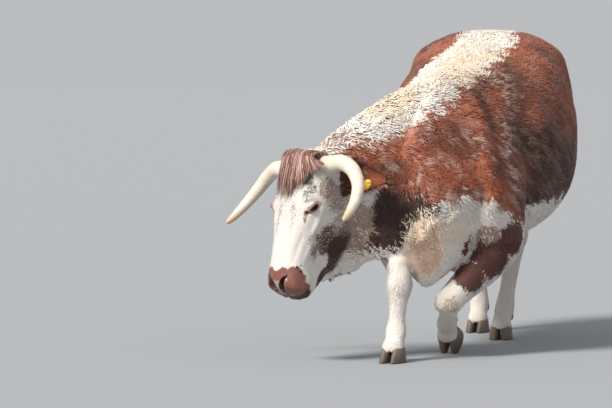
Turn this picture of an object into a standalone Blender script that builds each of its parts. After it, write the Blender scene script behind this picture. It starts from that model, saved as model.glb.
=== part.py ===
"""An English longhorn, life size, walking with its head low and turned to its right.

The animal faces -Y, its left side is +X, and the floor is z = 0. Sizes are in metres. Flesh is lofted
through a few stations of named measures, fused, and parted by thin cuts into head, neck, torso and legs.
"""

import math

import bpy
import bmesh
import numpy as np
from mathutils import Matrix, Vector

# Gap between pieces that meet face to face
GAP = 0.0003

# Frame of the head: the poll, how far the head turns to its right, and how far the face points down
POLL = (-0.467, -0.860, 0.818)
HEAD_YAW = math.radians(-35)
FACE_PITCH = math.radians(70)

# Eyes, in the head's own frame (left eye; the right one mirrors it)
EYE_CENTRE = (0.110, -0.188, 0.014)
EYE_RADIUS = 0.0205
EYE_RINGS = 8
EYE_SIDES = 10

# Lids: half length of the eye's opening along the face, and how far each lid's middle stands from its axis
LID_HALF_LENGTH = 0.0225
LID_RISE = 0.0150
LID_DROP = 0.0125
LID_DEPTH = 0.0130
LID_HALF_WIDTH = 0.0060

# Nostrils, as the eyes are
NOSTRIL_CENTRE = (0.036, -0.512, 0.002)
NOSTRIL_RADII = (0.012, 0.019, 0.016)

# Mouth: its line's level, its corners across and along the head, its reach to the front, and its depth
MOUTH_LEVEL = -0.112
MOUTH_HALF_WIDTH = 0.080
MOUTH_CORNER = -0.455
MOUTH_REACH = 0.140
MOUTH_DEPTH = 0.009
MOUTH_GAPE = 0.0035

# Horns, along the left horn: out from the poll, then down and forward
HORN_BASE_RADIUS = 0.040
HORN_TIP_RADIUS = 0.006
HORN_PATH = (
    (0.055, 0.000, -0.004),
    (0.125, 0.006, -0.006),
    (0.200, 0.014, -0.007),
    (0.262, -0.013, -0.019),
    (0.312, -0.071, -0.022),
    (0.345, -0.145, -0.002),
    (0.362, -0.207, 0.027),
    (0.370, -0.249, 0.053),
)

# Ears, in the head's own frame (left ear): root, direction, and the way that its upper edge lies
EAR_ROOT = (0.094, -0.024, -0.079)
EAR_ALONG = (0.880, 0.222, -0.419)
EAR_UP = (0.000, 0.939, 0.342)
EAR_LENGTH = 0.215
EAR_HALF_WIDTH = 0.062
EAR_THICKNESS = 0.008
# Width at the ear's root as a share of its widest, what the tip loses, half the arc of its section in
# degrees at the root and from the middle on, and how far the tip hangs
EAR_ROOT_WIDTH = 0.36
EAR_TIP_LOSS = 0.42
EAR_ROOT_ARC = 115
EAR_OPEN_ARC = 45
EAR_DROOP = 0.020

TAG_WIDTH = 0.036
TAG_HEIGHT = 0.050
TAG_THICKNESS = 0.003
TAG_ALONG_EAR = 0.58
TAG_ACROSS_EAR = -0.35
TAG_STEM_RADIUS = 0.008
TAG_STEM_LENGTH = 0.012

# Claws, two to a foot: their height at the coronet, the sole's reach forward and back of the
# coronet's centre, half width, and how far each stands from the middle of the foot
CLAW_HEIGHT = 0.062
CLAW_TOE = 0.082
CLAW_HEEL = 0.046
CLAW_HALF_WIDTH = 0.026
CLAW_OFFSET = 0.0275
# Sides of its sections and their levels from the coronet to the sole; its reach to the front and back at
# the coronet; how far its lowest edge is rounded; and how much the outer and inner wall draw in at the toe
CLAW_SIDES = 10
CLAW_LEVELS = (0.0, 0.18, 0.45, 0.75, 0.93, 1.0)
CORONET_TOE = 0.036
CORONET_HEEL = 0.040
SOLE_EDGE = 0.004
OUTER_DRAWING_IN = 0.34
INNER_DRAWING_IN = 0.10

# Dewclaws: their radii, and how far each stands to its side of, behind and below the fetlock's centre
DEWCLAW_RADII = (0.013, 0.020, 0.021)
DEWCLAW_OFFSET = (0.023, 0.036, 0.014)

# Sides of the sections of legs, upper limbs, horns and tail
LEG_SIDES = 14
UPPER_LIMB_SIDES = 24
HORN_SIDES = 11
TAIL_SIDES = 9

# Fused neck and torso: size of the cells that join them, rounds of smoothing, triangles left
CORE_CELL = 0.014
CORE_SMOOTHING = 8
CORE_TRIANGLES = 4200

# Coat colours
RED = (0.23, 0.075, 0.040)
DARK_RED = (0.10, 0.035, 0.022)
CREAM = (0.78, 0.70, 0.62)
HORN_COLOUR = (0.74, 0.62, 0.44)
HOOF_COLOUR = (0.17, 0.13, 0.10)
EYE_COLOUR = (0.02, 0.012, 0.010)
TAG_YELLOW = (0.90, 0.60, 0.03)


# Trunk stations from the rump forward: y, centre x, half width, top z, bottom z, z of the widest
# level, squareness of the section, and how much its top is drawn in
TRUNK = (
    (1.000, 0.008, 0.050, 1.190, 0.980, 1.090, 2.0, 0.00),
    (0.978, 0.008, 0.150, 1.265, 0.860, 1.080, 2.1, 0.00),
    (0.905, -0.002, 0.255, 1.325, 0.770, 1.060, 2.4, 0.00),
    (0.790, -0.008, 0.327, 1.370, 0.710, 1.030, 2.7, 0.00),
    (0.650, -0.008, 0.377, 1.394, 0.670, 0.990, 2.8, 0.00),
    (0.500, 0.006, 0.403, 1.384, 0.600, 0.940, 2.7, 0.00),
    (0.340, 0.026, 0.420, 1.338, 0.520, 0.890, 2.6, 0.00),
    (0.140, 0.028, 0.425, 1.280, 0.465, 0.850, 2.4, 0.05),
    (-0.080, 0.020, 0.390, 1.232, 0.450, 0.815, 2.3, 0.12),
    (-0.250, 0.008, 0.330, 1.205, 0.445, 0.790, 2.1, 0.26),
    (-0.400, -0.005, 0.285, 1.182, 0.430, 0.770, 2.1, 0.34),
    (-0.540, -0.025, 0.245, 1.120, 0.415, 0.745, 2.0, 0.28),
    (-0.650, -0.045, 0.175, 1.010, 0.430, 0.710, 2.0, 0.20),
    (-0.720, -0.055, 0.085, 0.900, 0.500, 0.690, 2.0, 0.10),
)

# Neck stations from inside the chest to the head: centre x, y, z, yaw in degrees, half width,
# rise to the crest, drop to the throat
NECK = (
    (-0.010, -0.340, 0.810, 0, 0.230, 0.350, 0.330),
    (-0.070, -0.475, 0.800, -16, 0.200, 0.345, 0.320),
    (-0.165, -0.575, 0.790, -28, 0.165, 0.305, 0.290),
    (-0.260, -0.665, 0.775, -34, 0.138, 0.252, 0.255),
    (-0.345, -0.745, 0.755, -36, 0.118, 0.198, 0.215),
    (-0.405, -0.810, 0.740, -36, 0.104, 0.150, 0.185),
    (-0.445, -0.860, 0.735, -36, 0.085, 0.105, 0.150),
)

# Where the neck parts from the torso: from the withers down and forward to the brisket
NECK_CUT = (-0.060, -0.540, 0.790)
NECK_CUT_NORMAL = (-0.31, -0.86, 0.42)

# Tail stations from the tail head down: centre x, y, z and radius; and the ends of its switch
TAIL = (
    (0.010, 0.900, 1.250, 0.036),
    (0.010, 0.985, 1.236, 0.036),
    (0.011, 1.034, 1.170, 0.031),
    (0.013, 1.048, 1.050, 0.025),
    (0.016, 1.048, 0.900, 0.021),
    (0.020, 1.043, 0.760, 0.018),
    (0.024, 1.038, 0.640, 0.022),
    (0.029, 1.033, 0.520, 0.024),
    (0.033, 1.028, 0.410, 0.017),
    (0.036, 1.024, 0.330, 0.004),
)

SWITCH_TOP = (0.019, 1.044, 0.790)
SWITCH_TIP = (0.036, 1.024, 0.330)

# Muscles under the coat, on both sides: upper and lower end, half width across and half depth
MUSCLES = (
    ((0.110, -0.350, 1.100), (0.236, -0.530, 0.740), 0.058, 0.125),
    ((0.250, -0.520, 0.760), (0.226, -0.380, 0.560), 0.066, 0.105),
    ((0.215, 0.640, 1.200), (0.256, 0.810, 0.830), 0.105, 0.180),
    ((0.110, 0.930, 1.170), (0.150, 0.900, 0.760), 0.085, 0.085),
)

# The right horn is set a little lower than the left one, and droops
RIGHT_HORN_DROP = 0.030
RIGHT_HORN_DROOP = math.radians(1.5)

# Locks of hair: the seed of their draws, and the half width and thickness of each kind
HAIR_SEED = 7
FORELOCK_SIZE = (0.020, 0.008)
CREST_SIZE = (0.023, 0.010)
SWITCH_SIZE = (0.026, 0.013)

# Rows of the forelock from the poll forward: how many locks, spread of their roots, and each lock's
# path as y and z in the head's frame, from inside the skull over the poll and down the forehead
FORELOCK = (
    (4, 0.042, ((0.016, -0.014), (0.062, 0.014), (0.044, 0.076), (-0.020, 0.107), (-0.095, 0.090))),
    (4, 0.046, ((-0.004, 0.010), (0.026, 0.054), (-0.010, 0.091), (-0.066, 0.094), (-0.128, 0.076))),
    (3, 0.040, ((-0.032, 0.030), (-0.018, 0.066), (-0.044, 0.077), (-0.080, 0.076), (-0.116, 0.068))),
)

# Dewlap, a fold that hangs from jaw to brisket: centre, yaw, half width, rise, drop
DEWLAP = (
    (-0.456, -0.832, 0.450, -36, 0.030, 0.060, 0.138),
    (-0.432, -0.804, 0.490, -36, 0.040, 0.100, 0.170),
    (-0.405, -0.778, 0.500, -36, 0.048, 0.130, 0.170),
    (-0.375, -0.752, 0.500, -36, 0.055, 0.160, 0.150),
    (-0.330, -0.715, 0.510, -36, 0.062, 0.180, 0.146),
    (-0.260, -0.692, 0.520, -34, 0.066, 0.190, 0.106),
    (-0.180, -0.682, 0.520, -28, 0.074, 0.190, 0.100),
    (-0.115, -0.665, 0.510, -22, 0.086, 0.190, 0.110),
    (-0.065, -0.642, 0.490, -16, 0.105, 0.180, 0.130),
    (-0.035, -0.600, 0.460, -8, 0.120, 0.170, 0.160),
    (-0.010, -0.515, 0.450, 0, 0.140, 0.150, 0.120),
    (0.000, -0.410, 0.480, 0, 0.120, 0.100, 0.055),
)

# Limb stations: centre x, y, z, then half measures across the limb, to its front and to its back.
# The upper limbs are fused with the torso, and each ends a little past its cut.
UPPER_ARM_LEFT = (
    (0.150, -0.260, 1.060, 0.040, 0.070, 0.090),
    (0.200, -0.330, 0.930, 0.075, 0.125, 0.140),
    (0.222, -0.400, 0.790, 0.088, 0.150, 0.160),
    (0.232, -0.425, 0.650, 0.090, 0.150, 0.155),
    (0.236, -0.385, 0.550, 0.086, 0.138, 0.135),
    (0.232, -0.352, 0.490, 0.080, 0.125, 0.118),
    (0.214, -0.384, 0.440, 0.075, 0.106, 0.100),
)
UPPER_ARM_RIGHT = (
    (-0.150, -0.260, 1.060, 0.040, 0.070, 0.090),
    (-0.200, -0.330, 0.930, 0.075, 0.125, 0.140),
    (-0.222, -0.400, 0.790, 0.088, 0.150, 0.160),
    (-0.230, -0.435, 0.650, 0.088, 0.150, 0.155),
    (-0.228, -0.415, 0.560, 0.084, 0.138, 0.135),
    (-0.215, -0.412, 0.495, 0.078, 0.118, 0.120),
    (-0.190, -0.480, 0.455, 0.070, 0.098, 0.100),
)
THIGH_LEFT = (
    (0.150, 0.740, 1.210, 0.070, 0.120, 0.120),
    (0.195, 0.650, 1.030, 0.120, 0.215, 0.215),
    (0.215, 0.560, 0.880, 0.112, 0.195, 0.210),
    (0.198, 0.525, 0.765, 0.100, 0.165, 0.185),
    (0.172, 0.552, 0.670, 0.080, 0.122, 0.128),
    (0.157, 0.578, 0.620, 0.068, 0.095, 0.104),
)
THIGH_RIGHT = (
    (-0.150, 0.740, 1.210, 0.070, 0.120, 0.120),
    (-0.195, 0.675, 1.030, 0.120, 0.220, 0.215),
    (-0.212, 0.630, 0.890, 0.112, 0.200, 0.210),
    (-0.200, 0.690, 0.780, 0.100, 0.170, 0.205),
    (-0.182, 0.740, 0.695, 0.080, 0.122, 0.128),
    (-0.172, 0.785, 0.655, 0.070, 0.096, 0.106),
)

# Free part of each leg, from its cut down to the coronet, and the row at which it is parted again
LEGS = {
    "foreleg_left": {
        "yaw": -33,
        "upper": (
            (0.232, -0.352, 0.490, 0.080, 0.125, 0.118),
            (0.214, -0.384, 0.440, 0.075, 0.106, 0.100),
            (0.180, -0.428, 0.380, 0.068, 0.092, 0.082),
            (0.132, -0.487, 0.318, 0.064, 0.076, 0.062),
            (0.088, -0.541, 0.268, 0.064, 0.062, 0.050),
            (0.062, -0.569, 0.230, 0.067, 0.058, 0.046),
            (0.057, -0.574, 0.196, 0.052, 0.042, 0.038),
        ),
        "lower": (
            (0.062, -0.565, 0.226, 0.047, 0.036, 0.038),
            (0.051, -0.531, 0.206, 0.045, 0.036, 0.040),
            (0.040, -0.468, 0.180, 0.039, 0.034, 0.041),
            (0.022, -0.412, 0.152, 0.042, 0.037, 0.044),
            (0.012, -0.374, 0.130, 0.046, 0.041, 0.047),
            (0.008, -0.350, 0.108, 0.042, 0.037, 0.040),
            (0.006, -0.332, 0.086, 0.050, 0.042, 0.040),
        ),
        "foot": {"at": (0.006, -0.332, 0.086), "yaw": -6, "pitch": 62},
    },
    "foreleg_right": {
        "yaw": 18,
        "upper": (
            (-0.215, -0.412, 0.495, 0.078, 0.118, 0.120),
            (-0.190, -0.480, 0.455, 0.070, 0.098, 0.100),
            (-0.160, -0.562, 0.420, 0.061, 0.078, 0.080),
            (-0.134, -0.645, 0.388, 0.053, 0.062, 0.062),
            (-0.117, -0.712, 0.354, 0.050, 0.053, 0.054),
            (-0.110, -0.745, 0.312, 0.055, 0.052, 0.053),
            (-0.112, -0.752, 0.270, 0.046, 0.039, 0.045),
        ),
        "lower": (
            (-0.112, -0.752, 0.270, 0.046, 0.039, 0.045),
            (-0.114, -0.754, 0.225, 0.038, 0.034, 0.040),
            (-0.117, -0.757, 0.175, 0.037, 0.033, 0.040),
            (-0.120, -0.764, 0.125, 0.046, 0.041, 0.048),
            (-0.121, -0.786, 0.088, 0.042, 0.038, 0.040),
            (-0.122, -0.804, 0.062, 0.050, 0.047, 0.044),
        ),
        "foot": {"at": (-0.122, -0.804, 0.062), "yaw": -8, "pitch": 0},
    },
    "hindleg_left": {
        "yaw": 4,
        "upper": (
            (0.172, 0.552, 0.670, 0.080, 0.122, 0.128),
            (0.157, 0.578, 0.620, 0.068, 0.095, 0.104),
            (0.140, 0.606, 0.565, 0.056, 0.068, 0.088),
            (0.125, 0.630, 0.515, 0.049, 0.053, 0.080),
            (0.115, 0.636, 0.462, 0.052, 0.051, 0.067),
            (0.108, 0.624, 0.415, 0.047, 0.045, 0.051),
            (0.104, 0.610, 0.375, 0.042, 0.041, 0.046),
        ),
        "lower": (
            (0.104, 0.610, 0.375, 0.042, 0.041, 0.046),
            (0.097, 0.580, 0.300, 0.038, 0.035, 0.042),
            (0.090, 0.546, 0.215, 0.037, 0.034, 0.042),
            (0.084, 0.512, 0.135, 0.046, 0.041, 0.048),
            (0.081, 0.478, 0.092, 0.042, 0.038, 0.040),
            (0.080, 0.456, 0.062, 0.050, 0.047, 0.044),
        ),
        "foot": {"at": (0.080, 0.456, 0.062), "yaw": 4, "pitch": 0},
    },
    "hindleg_right": {
        "yaw": -4,
        "upper": (
            (-0.182, 0.740, 0.695, 0.080, 0.122, 0.128),
            (-0.172, 0.785, 0.655, 0.070, 0.096, 0.106),
            (-0.157, 0.843, 0.600, 0.056, 0.068, 0.084),
            (-0.143, 0.893, 0.545, 0.049, 0.054, 0.076),
            (-0.132, 0.921, 0.487, 0.052, 0.050, 0.066),
            (-0.126, 0.920, 0.437, 0.046, 0.044, 0.050),
            (-0.122, 0.912, 0.390, 0.042, 0.041, 0.045),
        ),
        "lower": (
            (-0.122, 0.912, 0.390, 0.042, 0.041, 0.045),
            (-0.116, 0.897, 0.310, 0.037, 0.034, 0.041),
            (-0.110, 0.880, 0.220, 0.036, 0.033, 0.041),
            (-0.105, 0.864, 0.138, 0.046, 0.041, 0.048),
            (-0.103, 0.838, 0.093, 0.042, 0.038, 0.040),
            (-0.102, 0.818, 0.062, 0.050, 0.047, 0.044),
        ),
        "foot": {"at": (-0.102, 0.818, 0.062), "yaw": -4, "pitch": 0},
    },
}
UPPER_LIMBS = {
    "foreleg_left": UPPER_ARM_LEFT,
    "foreleg_right": UPPER_ARM_RIGHT,
    "hindleg_left": THIGH_LEFT,
    "hindleg_right": THIGH_RIGHT,
}

# Head stations in its own frame, where -Y runs down the face and +Z is the forehead's side:
# y, half width above, half width of the jaw below, top z, bottom z, z of the widest level, squareness
HEAD = (
    (0.052, 0.045, 0.040, -0.030, -0.110, -0.070, 2.2),
    (0.040, 0.085, 0.060, 0.004, -0.160, -0.060, 2.4),
    (0.005, 0.118, 0.080, 0.038, -0.208, -0.045, 2.6),
    (-0.055, 0.130, 0.088, 0.055, -0.250, -0.040, 2.9),
    (-0.120, 0.133, 0.092, 0.060, -0.278, -0.036, 3.0),
    (-0.190, 0.134, 0.092, 0.057, -0.292, -0.034, 3.0),
    (-0.250, 0.120, 0.086, 0.047, -0.288, -0.044, 2.9),
    (-0.310, 0.105, 0.076, 0.039, -0.272, -0.054, 2.8),
    (-0.370, 0.094, 0.066, 0.033, -0.246, -0.062, 2.8),
    (-0.425, 0.090, 0.062, 0.026, -0.217, -0.068, 2.8),
    (-0.470, 0.095, 0.068, 0.018, -0.192, -0.070, 2.8),
    (-0.505, 0.096, 0.070, 0.006, -0.166, -0.072, 2.7),
    (-0.529, 0.087, 0.064, -0.010, -0.152, -0.076, 2.6),
    (-0.545, 0.052, 0.040, -0.040, -0.128, -0.080, 2.3),
)


def clear_scene():
    for thing in list(bpy.data.objects):
        bpy.data.objects.remove(thing)


def new_collection(name):
    made = bpy.data.collections.new(name)
    bpy.context.scene.collection.children.link(made)
    return made


def finish_material(name, colour, roughness):
    """A Principled BSDF of one colour."""
    made = bpy.data.materials.new(name)
    made.use_nodes = True
    shader = made.node_tree.nodes["Principled BSDF"]
    shader.inputs["Base Color"].default_value = (*colour, 1.0)
    shader.inputs["Roughness"].default_value = roughness
    shader.inputs["Metallic"].default_value = 0.0
    made.diffuse_color = (*colour, 1.0)
    return made


def between(stations, count):
    """Rows spread evenly through the stations on a Catmull-Rom curve, in every column at once."""
    rows = np.array(stations, float)
    padded = np.vstack([2 * rows[0] - rows[1], rows, 2 * rows[-1] - rows[-2]])
    along = np.linspace(0, len(rows) - 1, count)
    first = np.minimum(along.astype(int), len(rows) - 2)
    t = (along - first)[:, None]
    a, b, c, d = (padded[first + i] for i in range(4))
    return 0.5 * (2 * b + (c - a) * t + (2 * a - 5 * b + 4 * c - d) * t**2 + (3 * (b - c) + d - a) * t**3)


def superellipse(sides, square):
    """Cosine and sine of a round, squared off where square is above 2."""
    turn = np.arange(sides) * 2 * math.pi / sides
    cosine, sine = np.cos(turn), np.sin(turn)
    power = 2 / square
    return np.sign(cosine) * np.abs(cosine) ** power, np.sign(sine) * np.abs(sine) ** power


def object_from(name, points, faces, collection, material=None):
    mesh = bpy.data.meshes.new(name)
    mesh.from_pydata([tuple(p) for p in points], [], faces)
    mesh.update()
    made = bpy.data.objects.new(name, mesh)
    collection.objects.link(made)
    if material:
        mesh.materials.append(material)
    return made


def loft(name, rings, collection, material=None, turned=()):
    """A closed skin of triangles through rings of equal count, with a fan on each end.

    The sides in turned take the other diagonal, so that both faces of a thin leaf are split alike."""
    rings = np.array(rings, float)
    count, sides = rings.shape[:2]
    points = np.vstack([rings.reshape(-1, 3), rings[0].mean(0), rings[-1].mean(0)])
    faces = []
    for ring in range(count - 1):
        for side in range(sides):
            a = ring * sides + side
            b = ring * sides + (side + 1) % sides
            if side in turned:
                faces += [(a, b, a + sides), (b, b + sides, a + sides)]
            else:
                faces += [(a, b, b + sides), (a, b + sides, a + sides)]
    last = (count - 1) * sides
    for side in range(sides):
        following = (side + 1) % sides
        faces.append((count * sides, following, side))
        faces.append((count * sides + 1, last + side, last + following))
    made = object_from(name, points, faces, collection, material)
    face_outwards(made)
    return made


def face_outwards(thing):
    shape = bmesh.new()
    shape.from_mesh(thing.data)
    bmesh.ops.recalc_face_normals(shape, faces=shape.faces)
    if shape.calc_volume(signed=True) < 0:
        bmesh.ops.reverse_faces(shape, faces=shape.faces)
    shape.to_mesh(thing.data)
    shape.free()


def upright_rings(stations, count, sides):
    """Sections of the trunk, upright and square to Y, narrower at the top where the row says so."""
    rings = []
    for y, x, width, top, bottom, level, square, drawn in between(stations, count):
        cosine, sine = superellipse(sides, square)
        across = width * cosine * (1 - drawn * np.clip(sine, 0, 1) ** 2)
        height = level + np.where(sine > 0, (top - level) * sine, (level - bottom) * sine)
        rings.append(np.column_stack([x + across, np.full(sides, y), height]))
    return rings


def yawed_rings(stations, count, sides, square=2.0, pinch=0.0):
    """Upright sections that turn about Z, as those of the neck do, thinner below by pinch."""
    rings = []
    for x, y, z, yaw, width, rise, drop in between(stations, count):
        cosine, sine = superellipse(sides, square)
        turn = math.radians(yaw)
        left = np.array([math.cos(turn), math.sin(turn), 0.0])
        height = np.where(sine > 0, rise * sine, drop * sine)
        across = width * cosine * (1 - pinch * np.clip(-sine, 0, 1) ** 1.5)
        rings.append(np.array([x, y, z]) + np.outer(across, left) + np.outer(height, (0, 0, 1)))
    return rings


def limb_rings(stations, count, sides, yaw, last=None):
    """Sections square to a limb's path, whose across axis lies near the limb's left side."""
    rows = between(stations, count)
    centres = rows[:, :3]
    along = np.gradient(centres, axis=0)
    along /= np.linalg.norm(along, axis=1)[:, None]
    if last is not None:
        along[-1] = last
        along[-2] += 2 * last
        along[-2] /= np.linalg.norm(along[-2])
    hint = np.array([math.cos(math.radians(yaw)), math.sin(math.radians(yaw)), 0.0])
    cosine, sine = superellipse(sides, 2.2)
    rings = []
    for centre, direction, (across, front, back) in zip(centres, along, rows[:, 3:]):
        left = hint - hint.dot(direction) * direction
        left /= np.linalg.norm(left)
        rear = np.cross(left, direction)
        depth = np.where(sine > 0, back * sine, front * sine)
        rings.append(centre + np.outer(across * cosine, left) + np.outer(depth, rear))
    return np.array(rings)


def ring_normal(ring, towards):
    """Unit normal of a flat ring, on the side that a vector points to."""
    quarter = len(ring) // 4
    normal = np.cross(ring[0] - ring.mean(0), ring[quarter] - ring.mean(0))
    normal /= np.linalg.norm(normal)
    return normal if normal.dot(towards) > 0 else -normal


def muscle(upper, lower, across, depth, side, collection):
    """A long ellipsoid between two points, flattened across the animal."""
    upper, lower = Vector(upper), Vector(lower)
    made = ellipsoid("muscle", (0, 0, 0), (across, depth, (upper - lower).length * 0.62), collection)
    long = (upper - lower).normalized()
    deep = Vector((0, 1, 0)) - long * long.y
    deep.normalize()
    turned = Matrix((deep.cross(long), deep, long)).transposed().to_4x4()
    place(made, Matrix.Translation((upper + lower) / 2) @ turned)
    if side < 0:
        place(made, Matrix.Diagonal((-1, 1, 1, 1)))
        made.data.flip_normals()
    return made


def limb_cutter(rings, swell, cutters):
    """The free end of a limb, widened, with its first section moved back by the gap."""
    centres = rings.mean(1, keepdims=True)
    wide = centres + (rings - centres) * swell
    wide[0] -= ring_normal(rings[0], centres[1, 0] - centres[0, 0]) * GAP
    made = loft("limb_cutter", wide, cutters)
    made.hide_render = True
    made.display_type = "WIRE"
    return made


def head_rings(count, sides):
    """Sections of the head: a broad flat forehead above, and a narrower rounded jaw below."""
    rings = []
    for y, width, jaw, top, bottom, level, square in between(HEAD, count):
        cosine, sine = superellipse(sides, square)
        low = np.clip(-sine, 0, 1)
        across = cosine * (width + (jaw - width) * low)
        height = level + np.where(sine > 0, (top - level) * sine, (level - bottom) * sine)
        rings.append(np.column_stack([across, np.full(sides, y), height]))
    return rings


def head_matrix():
    """From the head's own frame to the animal's."""
    heading = Vector((math.sin(HEAD_YAW), -math.cos(HEAD_YAW), 0))
    left = Vector((math.cos(HEAD_YAW), math.sin(HEAD_YAW), 0))
    face = heading * math.cos(FACE_PITCH) - Vector((0, 0, 1)) * math.sin(FACE_PITCH)
    front = heading * math.sin(FACE_PITCH) + Vector((0, 0, 1)) * math.cos(FACE_PITCH)
    turned = Matrix((left, -face, front)).transposed().to_4x4()
    return Matrix.Translation(POLL) @ turned


def place(thing, matrix):
    """Puts the place into the mesh itself."""
    thing.data.transform(matrix)
    thing.data.update()
    return thing


def split_faces(thing):
    """Makes every face triangles, so that a copy of the mesh bends where it does."""
    shape = bmesh.new()
    shape.from_mesh(thing.data)
    bmesh.ops.triangulate(shape, faces=shape.faces)
    shape.to_mesh(thing.data)
    shape.free()
    return thing


def apply_modifiers(thing):
    """The mesh as the modifiers leave it."""
    graph = bpy.context.evaluated_depsgraph_get()
    graph.update()
    made = bpy.data.meshes.new_from_object(thing.evaluated_get(graph))
    thing.modifiers.clear()
    old = thing.data
    thing.data = made
    made.name = thing.name
    bpy.data.meshes.remove(old)
    return thing


def boolean(thing, other, operation, solver="EXACT"):
    """Joins, cuts or keeps by another mesh, and applies it."""
    change = thing.modifiers.new(operation.lower(), "BOOLEAN")
    change.operation = operation
    change.object = other
    change.solver = solver
    return apply_modifiers(thing)


def join(name, pieces, collection):
    """One object that holds the meshes of several, which may cross."""
    shape = bmesh.new()
    for piece in pieces:
        shape.from_mesh(piece.data)
        bpy.data.objects.remove(piece)
    mesh = bpy.data.meshes.new(name)
    shape.to_mesh(mesh)
    shape.free()
    made = bpy.data.objects.new(name, mesh)
    collection.objects.link(made)
    return made


def fuse(name, pieces, collection, voxel, smoothing):
    """Pieces that cross, made one closed skin whose joins are rounded."""
    made = join(name, pieces, collection)
    remesh = made.modifiers.new("remesh", "REMESH")
    remesh.mode = "VOXEL"
    remesh.voxel_size = voxel
    smooth = made.modifiers.new("smooth", "SMOOTH")
    smooth.factor = 0.5
    smooth.iterations = smoothing
    return apply_modifiers(made)


def union(thing, pieces, solver="MANIFOLD"):
    """Joins closed pieces to a closed mesh by one Boolean on their collection, and removes them."""
    gathered = bpy.data.collections.new("gathered")
    for piece in pieces:
        for holder in list(piece.users_collection):
            holder.objects.unlink(piece)
        gathered.objects.link(piece)
    bpy.context.scene.collection.children.link(gathered)
    change = thing.modifiers.new("union", "BOOLEAN")
    change.operation = "UNION"
    change.operand_type = "COLLECTION"
    change.collection = gathered
    change.solver = solver
    apply_modifiers(thing)
    for piece in pieces:
        bpy.data.objects.remove(piece)
    bpy.data.collections.remove(gathered)
    return thing


def keep_largest(thing):
    """Keeps the largest closed surface of a mesh and drops the scraps."""
    shape = bmesh.new()
    shape.from_mesh(thing.data)
    bmesh.ops.remove_doubles(shape, verts=shape.verts, dist=1e-6)
    left = set(shape.faces)
    shells = []
    while left:
        seed = left.pop()
        shell, edge = {seed}, [seed]
        while edge:
            face = edge.pop()
            for side in face.edges:
                for near in side.link_faces:
                    if near in left:
                        left.discard(near)
                        shell.add(near)
                        edge.append(near)
        shells.append(shell)
    shells.sort(key=lambda shell: -sum(face.calc_area() for face in shell))
    scraps = [face for shell in shells[1:] for face in shell]
    bmesh.ops.delete(shape, geom=scraps, context="FACES")
    loose = [v for v in shape.verts if not v.link_faces]
    bmesh.ops.delete(shape, geom=loose, context="VERTS")
    shape.to_mesh(thing.data)
    shape.free()
    return split_faces(thing)


def swollen(thing, by, collection):
    """A copy whose surface stands out by a small distance, to cut a neighbour clear of it."""
    made = thing.copy()
    made.data = thing.data.copy()
    collection.objects.link(made)
    grown = made.modifiers.new("swell", "DISPLACE")
    grown.strength = by
    grown.mid_level = 0.0
    apply_modifiers(made)
    made.hide_render = True
    made.display_type = "WIRE"
    return made


def fit_against(thing, carriers, cutters):
    """Cuts a piece clear of what it grows from, so that the two meet face to face with the gap."""
    for carrier in carriers:
        cutter = swollen(carrier, GAP, cutters)
        boolean(thing, cutter, "DIFFERENCE")
        bpy.data.objects.remove(cutter)
    return keep_largest(thing)


def box_beyond(name, point, normal, half, depth, cutters):
    """A box whose near face lies in a plane and which reaches depth beyond it along normal."""
    shape = bmesh.new()
    bmesh.ops.create_cube(shape, size=1.0)
    bmesh.ops.scale(shape, vec=(2 * half, 2 * half, depth), verts=shape.verts)
    bmesh.ops.translate(shape, vec=(0, 0, depth / 2), verts=shape.verts)
    turn = Vector((0, 0, 1)).rotation_difference(Vector(normal)).to_matrix().to_4x4()
    bmesh.ops.transform(shape, matrix=Matrix.Translation(point) @ turn, verts=shape.verts)
    mesh = bpy.data.meshes.new(name)
    shape.to_mesh(mesh)
    shape.free()
    made = bpy.data.objects.new(name, mesh)
    cutters.objects.link(made)
    made.hide_render = True
    made.display_type = "WIRE"
    return made


def trim(thing, point, normal, half, depth, cutters, gap=0.0):
    """Cuts off all within the box beyond a plane, less a gap kept before it."""
    start = Vector(point) - Vector(normal).normalized() * gap
    cutter = box_beyond("trim", start, normal, half, depth, cutters)
    boolean(thing, cutter, "DIFFERENCE")
    bpy.data.objects.remove(cutter)
    return keep_largest(thing)


def ellipsoid(name, centre, radii, collection, material=None, rings=10, sides=14):
    shape = bmesh.new()
    bmesh.ops.create_uvsphere(shape, u_segments=sides, v_segments=rings, radius=1.0)
    bmesh.ops.scale(shape, vec=radii, verts=shape.verts)
    bmesh.ops.translate(shape, vec=centre, verts=shape.verts)
    mesh = bpy.data.meshes.new(name)
    shape.to_mesh(mesh)
    shape.free()
    made = bpy.data.objects.new(name, mesh)
    collection.objects.link(made)
    if material:
        mesh.materials.append(material)
    return made


def swept(name, path, normals, section, taper, collection):
    """A closed strip along a path, with a flat section of (out, side) offsets scaled by taper."""
    path, normals = np.array(path, float), np.array(normals, float)
    along = np.gradient(path, axis=0)
    along /= np.linalg.norm(along, axis=1)[:, None]
    side = np.cross(along, normals)
    side /= np.linalg.norm(side, axis=1)[:, None]
    section = np.array(section, float)
    rings = [p + k * (np.outer(section[:, 0], n) + np.outer(section[:, 1], s))
             for p, n, s, k in zip(path, normals, side, taper)]
    return loft(name, rings, collection)


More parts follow.
